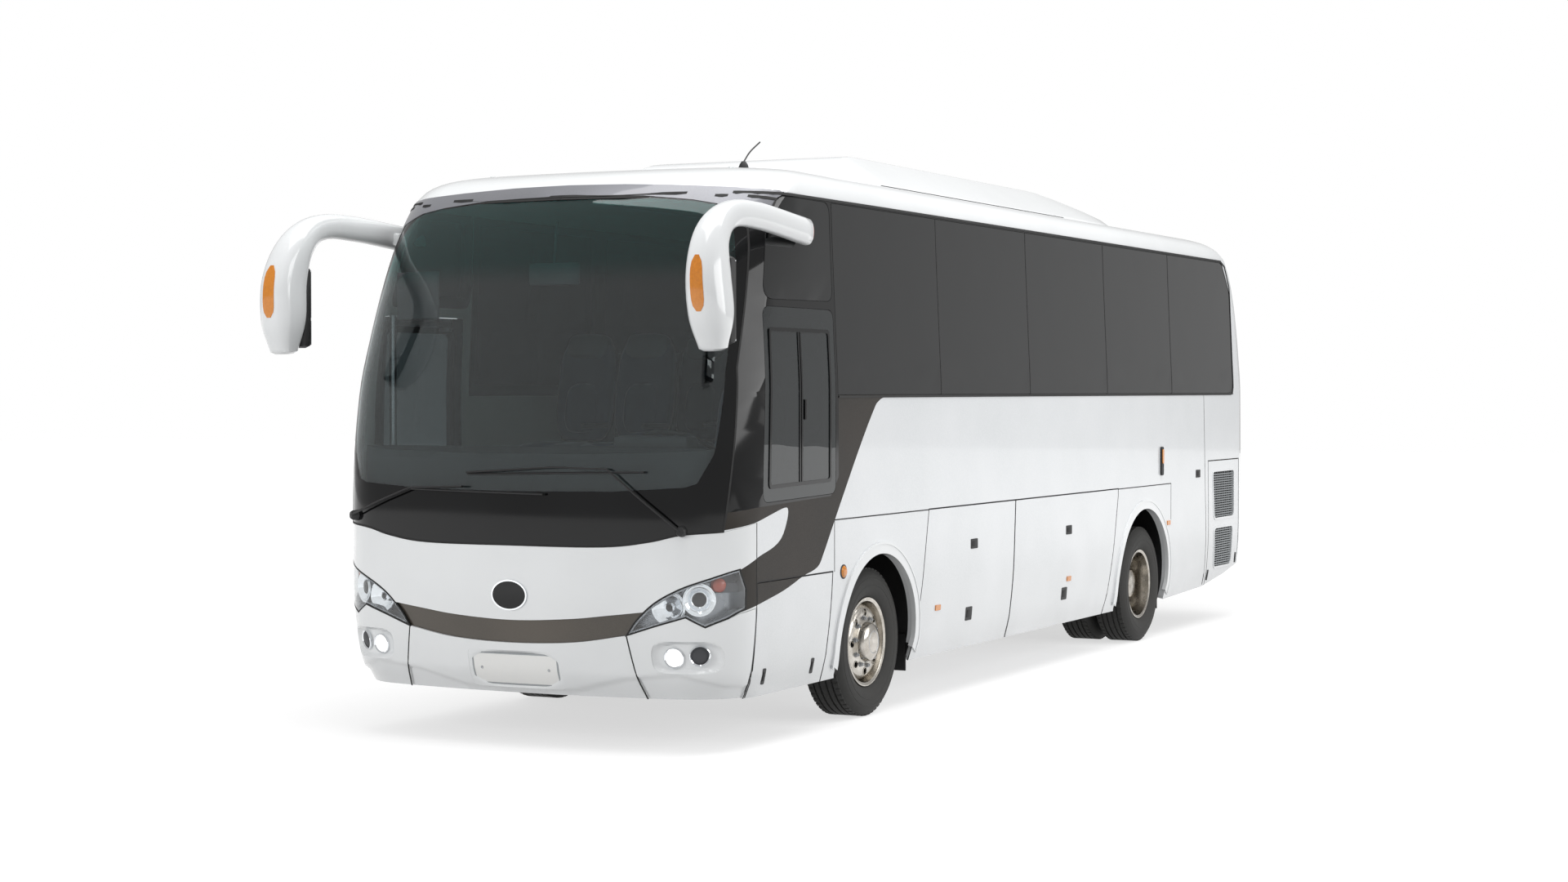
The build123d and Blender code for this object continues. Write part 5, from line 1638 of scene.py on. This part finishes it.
piece(
    "mirror_arms", "coach",
    [
        (both(joined([shell_form, foot])), gel_coat), (both(nose_strip), amber),
        (both(tail_cap), orange_red), (both(bezel), abs_black),
        (both(joined(mirror_panes)), mirror_glass),
    ],
    ["mirrors"], sharp=40,
)

# Repeats by Geometry Nodes

def repeated(name, body, shape, material, places, turns, sharp=30):
    """Copies of one shape at many places and turns, spread by a node tree and kept as a plain mesh."""
    seed = bpy.data.meshes.new(name + "_seed")
    seed.from_pydata(shape.points.tolist(), [], shape.faces)
    seed_object = added(name + "_seed", seed)
    cloud = bpy.data.meshes.new(name + "_places")
    cloud.from_pydata([tuple(p) for p in places], [], [])
    turn = cloud.attributes.new("turn", "FLOAT_VECTOR", "POINT")
    turn.data.foreach_set("vector", np.asarray(turns, float).ravel())
    made = added(name, cloud)
    tree = bpy.data.node_groups.new(name, "GeometryNodeTree")
    tree.interface.new_socket("Geometry", in_out="INPUT", socket_type="NodeSocketGeometry")
    wanted = [
        tree.interface.new_socket(label, in_out="INPUT", socket_type=kind)
        for label, kind in (("Shape", "NodeSocketObject"), ("Finish", "NodeSocketMaterial"))
    ]
    tree.interface.new_socket("Geometry", in_out="OUTPUT", socket_type="NodeSocketGeometry")
    given = node(tree, "NodeGroupInput")
    source = node(tree, "GeometryNodeObjectInfo", {"Object": given.outputs["Shape"]})
    stored = node(tree, "GeometryNodeInputNamedAttribute", {"Name": "turn"}, data_type="FLOAT_VECTOR")
    spun = node(tree, "FunctionNodeEulerToRotation", {0: stored.outputs["Attribute"]})
    spread = node(
        tree, "GeometryNodeInstanceOnPoints",
        {
            "Points": given.outputs["Geometry"], "Instance": source.outputs["Geometry"],
            "Rotation": spun.outputs[0],
        },
    )
    real = node(tree, "GeometryNodeRealizeInstances", {0: spread.outputs[0]})
    painted = node(
        tree, "GeometryNodeSetMaterial",
        {"Geometry": real.outputs[0], "Material": given.outputs["Finish"]},
    )
    node(tree, "NodeGroupOutput", {0: painted.outputs[0]})
    modifier = made.modifiers.new("repeat", "NODES")
    modifier.node_group = tree
    modifier[wanted[0].identifier] = seed_object
    modifier[wanted[1].identifier] = material
    bpy.context.view_layer.update()
    shown = made.evaluated_get(bpy.context.evaluated_depsgraph_get())
    mesh = bpy.data.meshes.new_from_object(shown)
    made.modifiers.remove(modifier)
    made.data = mesh
    if not mesh.materials:
        mesh.materials.append(material)
    shaded(mesh, sharp)
    bpy.data.objects.remove(seed_object)
    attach(made, body)
    return made


# Wheels and tyres

FRONT_TRACK, REAR_OUTER, TWIN_SPACING = 1.039, 1.059, 0.300
TREAD_RADIUS, GROOVE = 0.4330, 0.011
LUGS, LUG_RADIUS, LUG_Y = 60, 0.4296, 0.0825
NUTS, NUT_CIRCLE, FIRST_NUT = 10, 0.1405, 0.15
HAND_HOLES, HOLE_CIRCLE, DISC_THICK = 8, 0.172, 0.010


def axle_frame(x, y, side):
    """Matrix with local Z along the axle, pointing outwards."""
    return facing((x, side * y, AXLE_Z), (0, side, 0))


WALL_LINE = curve_through(
    [
        (0.2485, 0.092), (0.262, 0.0945), (0.280, 0.112), (0.310, 0.126), (0.345, 0.1305),
        (0.385, 0.127), (0.412, 0.112), (0.4290, 0.095),
    ],
    4,
)
side_line = [(r, y) for r, y in WALL_LINE]
tread = []
for y in (0.060, 0.022, -0.022, -0.060):
    floor_radius = TREAD_RADIUS - GROOVE
    tread += [
        (TREAD_RADIUS, y + 0.006), (floor_radius, y + 0.0045), (floor_radius, y - 0.0045),
        (TREAD_RADIUS, y - 0.006),
    ]
tyre_profile = [
    *side_line, (0.4290, 0.0935), *tread, (0.4290, -0.0935), *[(r, -y) for r, y in side_line[::-1]],
]
bead_rings = [
    [
        (r, s * (y + 0.0004)), (r + 0.003, s * (y + 0.0026)), (r + 0.006, s * (y + 0.0004)),
        (r + 0.003, s * (y - 0.003)),
    ]
    for r, y in ((0.270, 0.1010), (0.330, 0.1288), (0.372, 0.1280))
    for s in (1, -1)
]


def tyre_shape(frame_at):
    """A tyre with its grooves and the moulded rings on its walls."""
    return joined(
        [spin(tyre_profile, frame_at, 96), *[spin(ring_line, frame_at, 96) for ring_line in bead_rings]]
    )


def disc_shape(table, frame_at):
    """The pressed wheel disc with its round hand holes, from a table of radius and height."""
    radii, heights = np.array(table).T

    def dish(u, v):
        u, v = np.asarray(u, float), np.asarray(v, float)
        return np.stack([u, v, smooth(np.hypot(u, v), radii, heights)], -1)

    centres = circle(0, 0, HOLE_CIRCLE, HAND_HOLES)
    holes = [circle(*centre, 0.0205, 24) for centre in centres]
    lip_rings = [
        patch(
            dish, circle(*centre, 0.0235, 24), holes=[circle(*centre, 0.0203, 24)], thick=0.006,
            proud=0.0022, step=NO_GRID,
        )
        for centre in centres
    ]
    sheet = patch(
        dish, circle(0, 0, radii[-1], 96), holes=[*holes, circle(0, 0, radii[0], 64)], thick=DISC_THICK,
        step=(0.012, 0.012),
    )
    return joined([sheet, *lip_rings]).moved(frame_at)


RIM_LINE = [
    (0.2385, 0.098), (0.2500, 0.103), (0.2590, 0.1035), (0.2610, 0.100), (0.2600, 0.0955),
    (0.2520, 0.0945), (0.2475, 0.090), (0.2440, 0.060), (0.2380, 0.040), (0.2380, -0.040),
    (0.2440, -0.060), (0.2475, -0.090), (0.2520, -0.0945), (0.2600, -0.0955), (0.2610, -0.100),
    (0.2590, -0.1035), (0.2500, -0.103), (0.2385, -0.098), (0.2340, -0.060), (0.2300, -0.040),
    (0.2300, 0.040), (0.2340, 0.060),
]
FRONT_DISC = [
    (0.112, 0.098), (0.130, 0.094), (0.150, 0.091), (0.188, 0.088), (0.205, 0.078), (0.220, 0.058),
    (0.2345, 0.020),
]
REAR_DISC = [
    (0.112, -0.132), (0.142, -0.132), (0.165, -0.127), (0.190, -0.118), (0.208, -0.108),
    (0.222, -0.080), (0.2345, -0.040),
]
FRONT_CAP = [
    (0, 0.150), (0.040, 0.1497), (0.070, 0.148), (0.092, 0.143), (0.106, 0.134), (0.113, 0.118),
    (0.116, 0.098), (0.122, 0.0955), (0.122, 0.086), (0, 0.086),
]
CAP_RING = [(0.060, 0.1470), (0.064, 0.1500), (0.068, 0.1470), (0.064, 0.1450)]
REAR_CAP = [
    (0, 0.046), (0.050, 0.0455), (0.085, 0.042), (0.100, 0.034), (0.108, 0.020), (0.112, -0.020),
    (0.116, -0.125), (0.124, -0.130), (0.124, -0.140), (0, -0.140),
]

hexagon = [(0.0125 * math.cos(t), 0.0125 * math.sin(t)) for t in np.arange(6) * math.pi / 3]
nut = joined(
    [
        loft(
            [
                [(x, y, 0.0) for x, y in hexagon], [(x, y, 0.014) for x, y in hexagon],
                [(0.8 * x, 0.8 * y, 0.0165) for x, y in hexagon],
            ]
        ),
        spin(
            [(0.0, 0.022), (0.0060, 0.022), (0.0070, 0.018), (0.0070, 0.004), (0.0, 0.004)],
            Matrix.Identity(4), 12,
        ),
        spin([(0.0, 0.003), (0.0165, 0.003), (0.0170, 0.0), (0.0, -0.001)], Matrix.Identity(4), 16),
    ]
)
lug = block((-0.0155, 0.0155), (-0.0165, 0.0165), (-0.004, 0.0036), 0.0015)

for side, name in ((1, "left"), (-1, "right")):
    at = axle_frame(AXLE_X, FRONT_TRACK, side)
    piece(
        f"front_tyre_{name}", f"wheel_front_{name}", [(tyre_shape(at), tyre_rubber)],
        [f"tyre_front_{name}"],
    )
    piece(
        f"front_rim_{name}", f"wheel_front_{name}",
        [
            (spin(RIM_LINE, at, 96), wheel_steel), (disc_shape(FRONT_DISC, at), wheel_steel),
            (spin(FRONT_CAP, at, 64), wheel_steel), (spin(CAP_RING, at, 64), zinc),
        ],
        [f"wheel_front_{name}"],
    )
    outer, inner = [axle_frame(REAR_AXLE, y, side) for y in (REAR_OUTER, REAR_OUTER - TWIN_SPACING)]
    piece(
        f"rear_tyres_{name}", f"wheels_rear_{name}",
        [(joined([tyre_shape(outer), tyre_shape(inner)]), tyre_rubber)], [f"tyres_rear_{name}"],
    )
    piece(
        f"rear_rims_{name}", f"wheels_rear_{name}",
        [
            (spin(RIM_LINE, outer, 96), wheel_steel), (spin(RIM_LINE, inner, 64), wheel_steel),
            (disc_shape(REAR_DISC, outer), wheel_steel), (spin(REAR_CAP, outer, 64), wheel_steel),
            (
                spin([(0.100, -0.160), (0.235, -0.250), (0.235, -0.262), (0.100, -0.172)], outer, 64),
                wheel_steel,
            ),
        ],
        [f"wheels_rear_{name}"],
    )
    for place, x, y, face in (
        ("front", AXLE_X, FRONT_TRACK, 0.091), ("rear", REAR_AXLE, REAR_OUTER, -0.132),
    ):
        body = f"wheel_front_{name}" if place == "front" else f"wheels_rear_{name}"
        turns = np.arange(NUTS) * 2 * math.pi / NUTS + FIRST_NUT
        spots = [
            (x + NUT_CIRCLE * math.cos(t), side * (y + face), AXLE_Z + NUT_CIRCLE * math.sin(t))
            for t in turns
        ]
        repeated(
            f"{place}_nuts_{name}", body, nut, zinc, spots, [(-side * math.pi / 2, 0, 0)] * NUTS,
        )
        spots, leans = [], []
        for tyre_y in ((y,) if place == "front" else (y, y - TWIN_SPACING)):
            for edge in (1, -1):
                for t in np.arange(LUGS) * 2 * math.pi / LUGS:
                    spots.append(
                        (
                            x + LUG_RADIUS * math.sin(t), side * tyre_y + edge * LUG_Y,
                            AXLE_Z + LUG_RADIUS * math.cos(t),
                        )
                    )
                    leans.append((0, t, 0))
        repeated(f"{place}_tread_{name}", body, lug, tyre_rubber, spots, leans)

# Roof fittings

# Sections of the air conditioner's cover: place, height of the crown and half width
unit_x = [
    -0.385, -0.400, -0.430, -0.480, -0.560, -0.660, -0.780, -0.950, -2.200, -3.800, -3.960, -4.200,
    -4.600, -4.820, -4.900, -4.945,
]
unit_top = [
    3.125, 3.165, 3.205, 3.250, 3.300, 3.335, 3.350, 3.354, 3.354, 3.354, 3.348, 3.318, 3.250, 3.205,
    3.170, 3.125,
]
unit_wide = [
    0.860, 0.890, 0.910, 0.928, 0.940, 0.947, 0.950, 0.950, 0.950, 0.950, 0.950, 0.948, 0.938, 0.920,
    0.895, 0.860,
]
sections = []
for x, top, wide in zip(unit_x, unit_top, unit_wide):
    shoulder = min(3.150, top - 0.015)
    crest = wide - 0.310 * (top - shoulder) / 0.210
    outline = rounded(
        [
            (-wide, 3.085), (-wide, shoulder), (-crest, top), (crest, top), (wide, shoulder),
            (wide, 3.085),
        ],
        0.05, 5,
    )
    sections.append([(AXLE_X + x, y, z) for y, z in outline])
unit_parts = [(loft(sections), gel_coat)]
for side in (1, -1):
    unit_parts.append(
        (
            body_block(-3.750, -0.620, sorted((side * 0.945, side * 0.956)), (3.122, 3.150), 0.004),
            abs_black,
        )
    )
fan_parts, blades = [], []
for x in (-1.150, -1.950, -2.750, -3.500):
    for y in (-0.300, 0.300):
        seat = Matrix.Translation((AXLE_X + x, y, max(unit_top)))
        fan_parts.append(
            spin([(0.205, -0.004), (0.235, -0.004), (0.232, 0.004), (0.208, 0.0055)], seat, 48)
        )
        fan_parts.append(spin([(0, 0.0005), (0.206, 0.0005), (0.206, -0.004), (0, -0.004)], seat, 48))
        for radius in (0.060, 0.110, 0.160):
            blades.append(
                spin([(radius - 0.003, 0.001), (radius, 0.0050), (radius + 0.003, 0.001)], seat, 40)
            )
        blades.append(spin([(0, 0.0055), (0.030, 0.0050), (0.034, 0.0), (0, 0.0)], seat, 24))
piece(
    "air_conditioner_cover", "coach",
    unit_parts + [(joined(fan_parts), abs_black), (joined(blades), anodised)], ["air_conditioner"],
    sharp=35,
)

aerial_foot = skin(*np.array(from_side([(0.600, 3.120), (0.601, 3.120)])[0])) * (1, 0, 0) + np.array(
    (0, 0.650, 3.158)
)
aerial = [
    spin(
        [(0, 0.050), (0.012, 0.048), (0.024, 0.030), (0.034, 0.0), (0.034, -0.012), (0, -0.012)],
        Matrix.Translation(aerial_foot), 32,
    ),
    rod(
        curve_through(
            [
                aerial_foot + (0, 0, 0.045), aerial_foot + (-0.080, 0, 0.110),
                aerial_foot + (-0.200, 0, 0.175),
            ],
            6,
        ),
        [0.0045] * 13, 10,
    ),
]
marker_seats = [
    Matrix.Translation((AXLE_X + 0.980, y, 3.108)) @ Matrix.Scale(1.7, 4, (1, 0, 0))
    for y in (-0.780, 0.780)
]
markers = [
    spin([(0, 0.034), (0.018, 0.030), (0.026, 0.016), (0.028, -0.012), (0, -0.012)], seat, 32)
    for seat in marker_seats
]
piece(
    "aerial", "coach", [(joined(aerial), abs_black), (joined(markers), lens_clear)],
)
hatch_outer = body_block(-5.900, -5.250, (-0.330, 0.330), (3.150, 3.200), 0.020)
hatch_glass = body_block(-5.840, -5.310, (-0.270, 0.270), (3.196, 3.206), 0.004)
piece("roof_hatch", "coach", [(hatch_outer, gel_coat), (hatch_glass, privacy_glass)])

# Inside

def pillow(centre, half, lean=0.0, power=0.42, across=28, up=16):
    """A crowned soft block whose sides pull in between its corners."""
    def soft(value, exponent):
        return math.copysign(abs(value) ** exponent, value)
    rings = []
    for a in np.linspace(-math.pi / 2, math.pi / 2, up)[1:-1]:
        rings.append(
            [
                (
                    half[0] * soft(math.cos(a), power) * soft(math.cos(t), power),
                    half[1] * soft(math.cos(a), power) * soft(math.sin(t), power),
                    half[2] * soft(math.sin(a), 0.62),
                )
                for t in np.arange(across) * 2 * math.pi / across
            ]
        )
    form = loft(rings)
    turn = Matrix.Translation(centre) @ Matrix.Rotation(lean, 4, "Y")
    return form.moved(turn)


LEAN = -math.atan2(0.120, 0.650)
cushion = joined([
    pillow((0, 0, 0.372), (0.218, 0.202, 0.062)),
    pillow((0.070, 0, 0.395), (0.130, 0.130, 0.046), power=0.6, across=20, up=10),
])
backrest = joined([
    pillow((-0.345, 0, 0.752), (0.052, 0.198, 0.325), LEAN),
    pillow((-0.290, 0, 0.640), (0.040, 0.120, 0.160), LEAN, 0.6, 20, 10),
])
headrest = pillow((-0.385, 0, 1.020), (0.056, 0.150, 0.085), LEAN, 0.5, 24, 12)
spots = []
for row in range(SEAT_ROWS):
    for y in (-0.937, -0.512, 0.512, 0.937):
        spots.append((AXLE_X + 0.050 - row * SEAT_PITCH, y, DECK))
for y in (-0.864, -0.432, 0.0, 0.432, 0.864):
    spots.append((TAIL + 0.640, y, REAR_DECK))
spots.append((AXLE_X + 0.830, DRIVER_Y, CAB))
flat_turns = [(0, 0, 0)] * len(spots)
soft_parts = [
    repeated("seat_cushions", "coach", cushion, moquette, spots, flat_turns, 60),
    repeated("seat_backs", "coach", backrest, moquette, spots, flat_turns, 60),
    repeated("headrests", "coach", headrest, headrest_cover, spots, flat_turns, 60),
]
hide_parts("seats")
shell_back = block((-0.040, 0.0), (-0.195, 0.195), (0.0, 0.560), 0.018).moved(
    Matrix.Translation((-0.335, 0, 0.440)) @ Matrix.Rotation(LEAN, 4, "Y")
)
grab = rod(
    [(-0.475, -0.150, 0.960), (-0.515, -0.140, 0.975), (-0.515, 0.140, 0.975), (-0.475, 0.150, 0.960)],
    0.012, 10,
)
pan = block((-0.210, 0.200), (-0.200, 0.200), (0.296, 0.318), 0.006)
armrest = block((-0.240, 0.060), (0.196, 0.226), (0.520, 0.552), 0.012)
repeated(
    "seat_shells", "coach", joined([shell_back, grab, pan, armrest]), abs_grey, spots, flat_turns,
)
legs = []
for x, y, z in spots:
    foot_z = z + (0.0203 if z == REAR_DECK else 0.0003)
    legs.append(block((x - 0.090, x + 0.090), (y - 0.045, y + 0.045), (foot_z, z + 0.300), 0.004))
piece("seat_legs", "coach", [(joined(legs), chassis_paint)])

# Steering wheel, instruments and switches
wheel_at = Matrix.Translation((AXLE_X + 1.270, DRIVER_Y, 1.560)) @ Matrix.Rotation(
    math.radians(-32), 4, "Y",
)
grip = [(0.225 + 0.0138 * math.cos(t), 0.0138 * math.sin(t)) for t in np.arange(14) * 2 * math.pi / 14]
steering = [
    spin(grip, wheel_at, 64),
    spin([(0, 0.018), (0.045, 0.016), (0.062, 0.006), (0.064, -0.020), (0, -0.022)], wheel_at, 40),
]
for angle in (0, 120, 240):
    local = np.array([(0.040, 0, -0.002), (0.130, 0, -0.012), (0.222, 0, 0.0)]) @ np.array(
        Matrix.Rotation(math.radians(angle), 3, "Z")
    ).T
    placed = local @ np.array(wheel_at)[:3, :3].T + np.array(wheel_at)[:3, 3]
    steering.append(rod(curve_through(placed, 5), 0.013, 10, 1.4))
steering.append(rod([wheel_at @ Vector((0, 0, -0.020)), wheel_at @ Vector((0, 0, -0.330))], 0.038, 24))
piece(
    "steering_wheel_rim", "coach", [(joined(steering), abs_black)], ["steering_wheel"],
)
cluster = [
    body_block(1.500, 1.640, (0.400, 0.860), (1.560, 1.660), 0.025),
    body_block(1.440, 1.560, (-0.060, 0.330), (1.440, 1.600), 0.020),
]
dials = []
for y, r in ((0.530, 0.050), (0.680, 0.050), (0.780, 0.028)):
    dials.append(
        spin(
            [(0, 0.004), (r, 0.004), (r + 0.005, 0.008), (r + 0.008, 0.0), (0, 0.0)],
            facing((AXLE_X + 1.500, y, 1.610), (-1, 0, 0.1)), 32,
        )
    )
buttons = [
    body_block(1.430, 1.444, (y - 0.014, y + 0.014), (z - 0.011, z + 0.011))
    for y in np.arange(-0.030, 0.31, 0.042) for z in (1.470, 1.505)
]
lever = [
    rod(
        curve_through(
            [
                (AXLE_X + 1.150, 0.300, CAB + 0.010), (AXLE_X + 1.165, 0.300, 1.150),
                (AXLE_X + 1.135, 0.300, 1.380),
            ],
            6,
        ),
        0.010, 12,
    ),
    spin(
        [(0, 0.045), (0.020, 0.040), (0.026, 0.020), (0.018, 0.0), (0, 0.0)],
        Matrix.Translation((AXLE_X + 1.135, 0.300, 1.365)), 24,
    ),
]
pedals = [
    body_block(1.545, 1.560, (y - 0.035, y + 0.035), (1.000, 1.100), 0.004)
    for y in (0.480, 0.600, 0.720)
]
piece(
    "driver_controls", "coach",
    [(joined(cluster), abs_grey), (joined([*dials, *buttons, *lever, *pedals]), abs_black)],
)
blind = body_block(1.645, 1.652, (-0.980, -0.700), (2.300, 2.560), 0.002)
inner_mirror = [
    body_block(1.500, 1.518, (-0.200, 0.120), (2.480, 2.600), 0.008),
    rod([(AXLE_X + 1.510, -0.040, 2.590), (AXLE_X + 1.480, -0.040, 2.830)], 0.008, 10),
]
piece("sun_blind", "coach", [(joined([blind, *inner_mirror]), abs_grey)])

# Finishes of the nodes that keep their own shape
for finish_now, names in (
    (chassis_paint, ("chassis_frame", "front_axle", "knuckle_left", "knuckle_right", "rear_axle")),
    (zinc, ("door_arm",)), (vinyl, ("floor_deck",)), (bay_sheet, ("luggage_bay",)),
    (abs_black, ("wheel_houses",)), (cast_iron, ("engine_block",)), (abs_grey, ("dashboard",)),
):
    for kept in names:
        for kept_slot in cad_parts[kept].material_slots:
            kept_slot.material = finish_now

# Floor, backdrop

floor_mesh = bpy.data.meshes.new("studio_floor")
floor_mesh.from_pydata([(-60, -60, 0), (60, -60, 0), (60, 60, 0), (-60, 60, 0)], [], [(0, 1, 2, 3)])
floor = added("studio_floor", floor_mesh)
floor_paint, tree, _ = plain_material("painted_studio_floor")
tree.nodes.clear()
rays = node(tree, "ShaderNodeLightPath")
seen = node(
    tree, "ShaderNodeMath", {0: rays.outputs["Is Camera Ray"], 1: rays.outputs["Is Glossy Ray"]},
    operation="MAXIMUM",
)
seen = node(
    tree, "ShaderNodeMath", {0: seen.outputs[0], 1: rays.outputs["Is Transmission Ray"]},
    operation="MAXIMUM",
)
place = node(tree, "ShaderNodeTexCoord").outputs["Object"]
distance = node(tree, "ShaderNodeVectorMath", {0: place}, operation="LENGTH")
level = node(
    tree, "ShaderNodeMapRange",
    {
        "Value": distance.outputs["Value"], "From Min": 6.0, "From Max": 18.0, "To Min": 0.64,
        "To Max": 1.0,
    },
    interpolation_type="SMOOTHSTEP",
)
strength = node(tree, "ShaderNodeMath", {0: seen.outputs[0], 1: level.outputs[0]}, operation="MULTIPLY")
matt = node(tree, "ShaderNodeBsdfDiffuse", {"Color": linear("#b4b4b4")})
glow = node(tree, "ShaderNodeEmission", {"Color": (1, 1, 1, 1), "Strength": strength.outputs[0]})
total = node(tree, "ShaderNodeAddShader", {0: matt.outputs[0], 1: glow.outputs[0]})
node(tree, "ShaderNodeOutputMaterial", {"Surface": total.outputs[0]})
floor_mesh.materials.append(floor_paint)

world = bpy.data.worlds.new("studio")
bpy.context.scene.world = world
world.use_nodes = True
tree = world.node_tree
rays = node(tree, "ShaderNodeLightPath")
clear = node(
    tree, "ShaderNodeMath", {0: rays.outputs["Is Camera Ray"], 1: rays.outputs["Is Transmission Ray"]},
    operation="MAXIMUM",
)
strength = node(tree, "ShaderNodeMapRange", {"Value": clear.outputs[0], "To Min": 0.55, "To Max": 1.0})
sky = tree.nodes["Background"]
sky.inputs["Color"].default_value = (1, 1, 1, 1)
tree.links.new(strength.outputs[0], sky.inputs["Strength"])
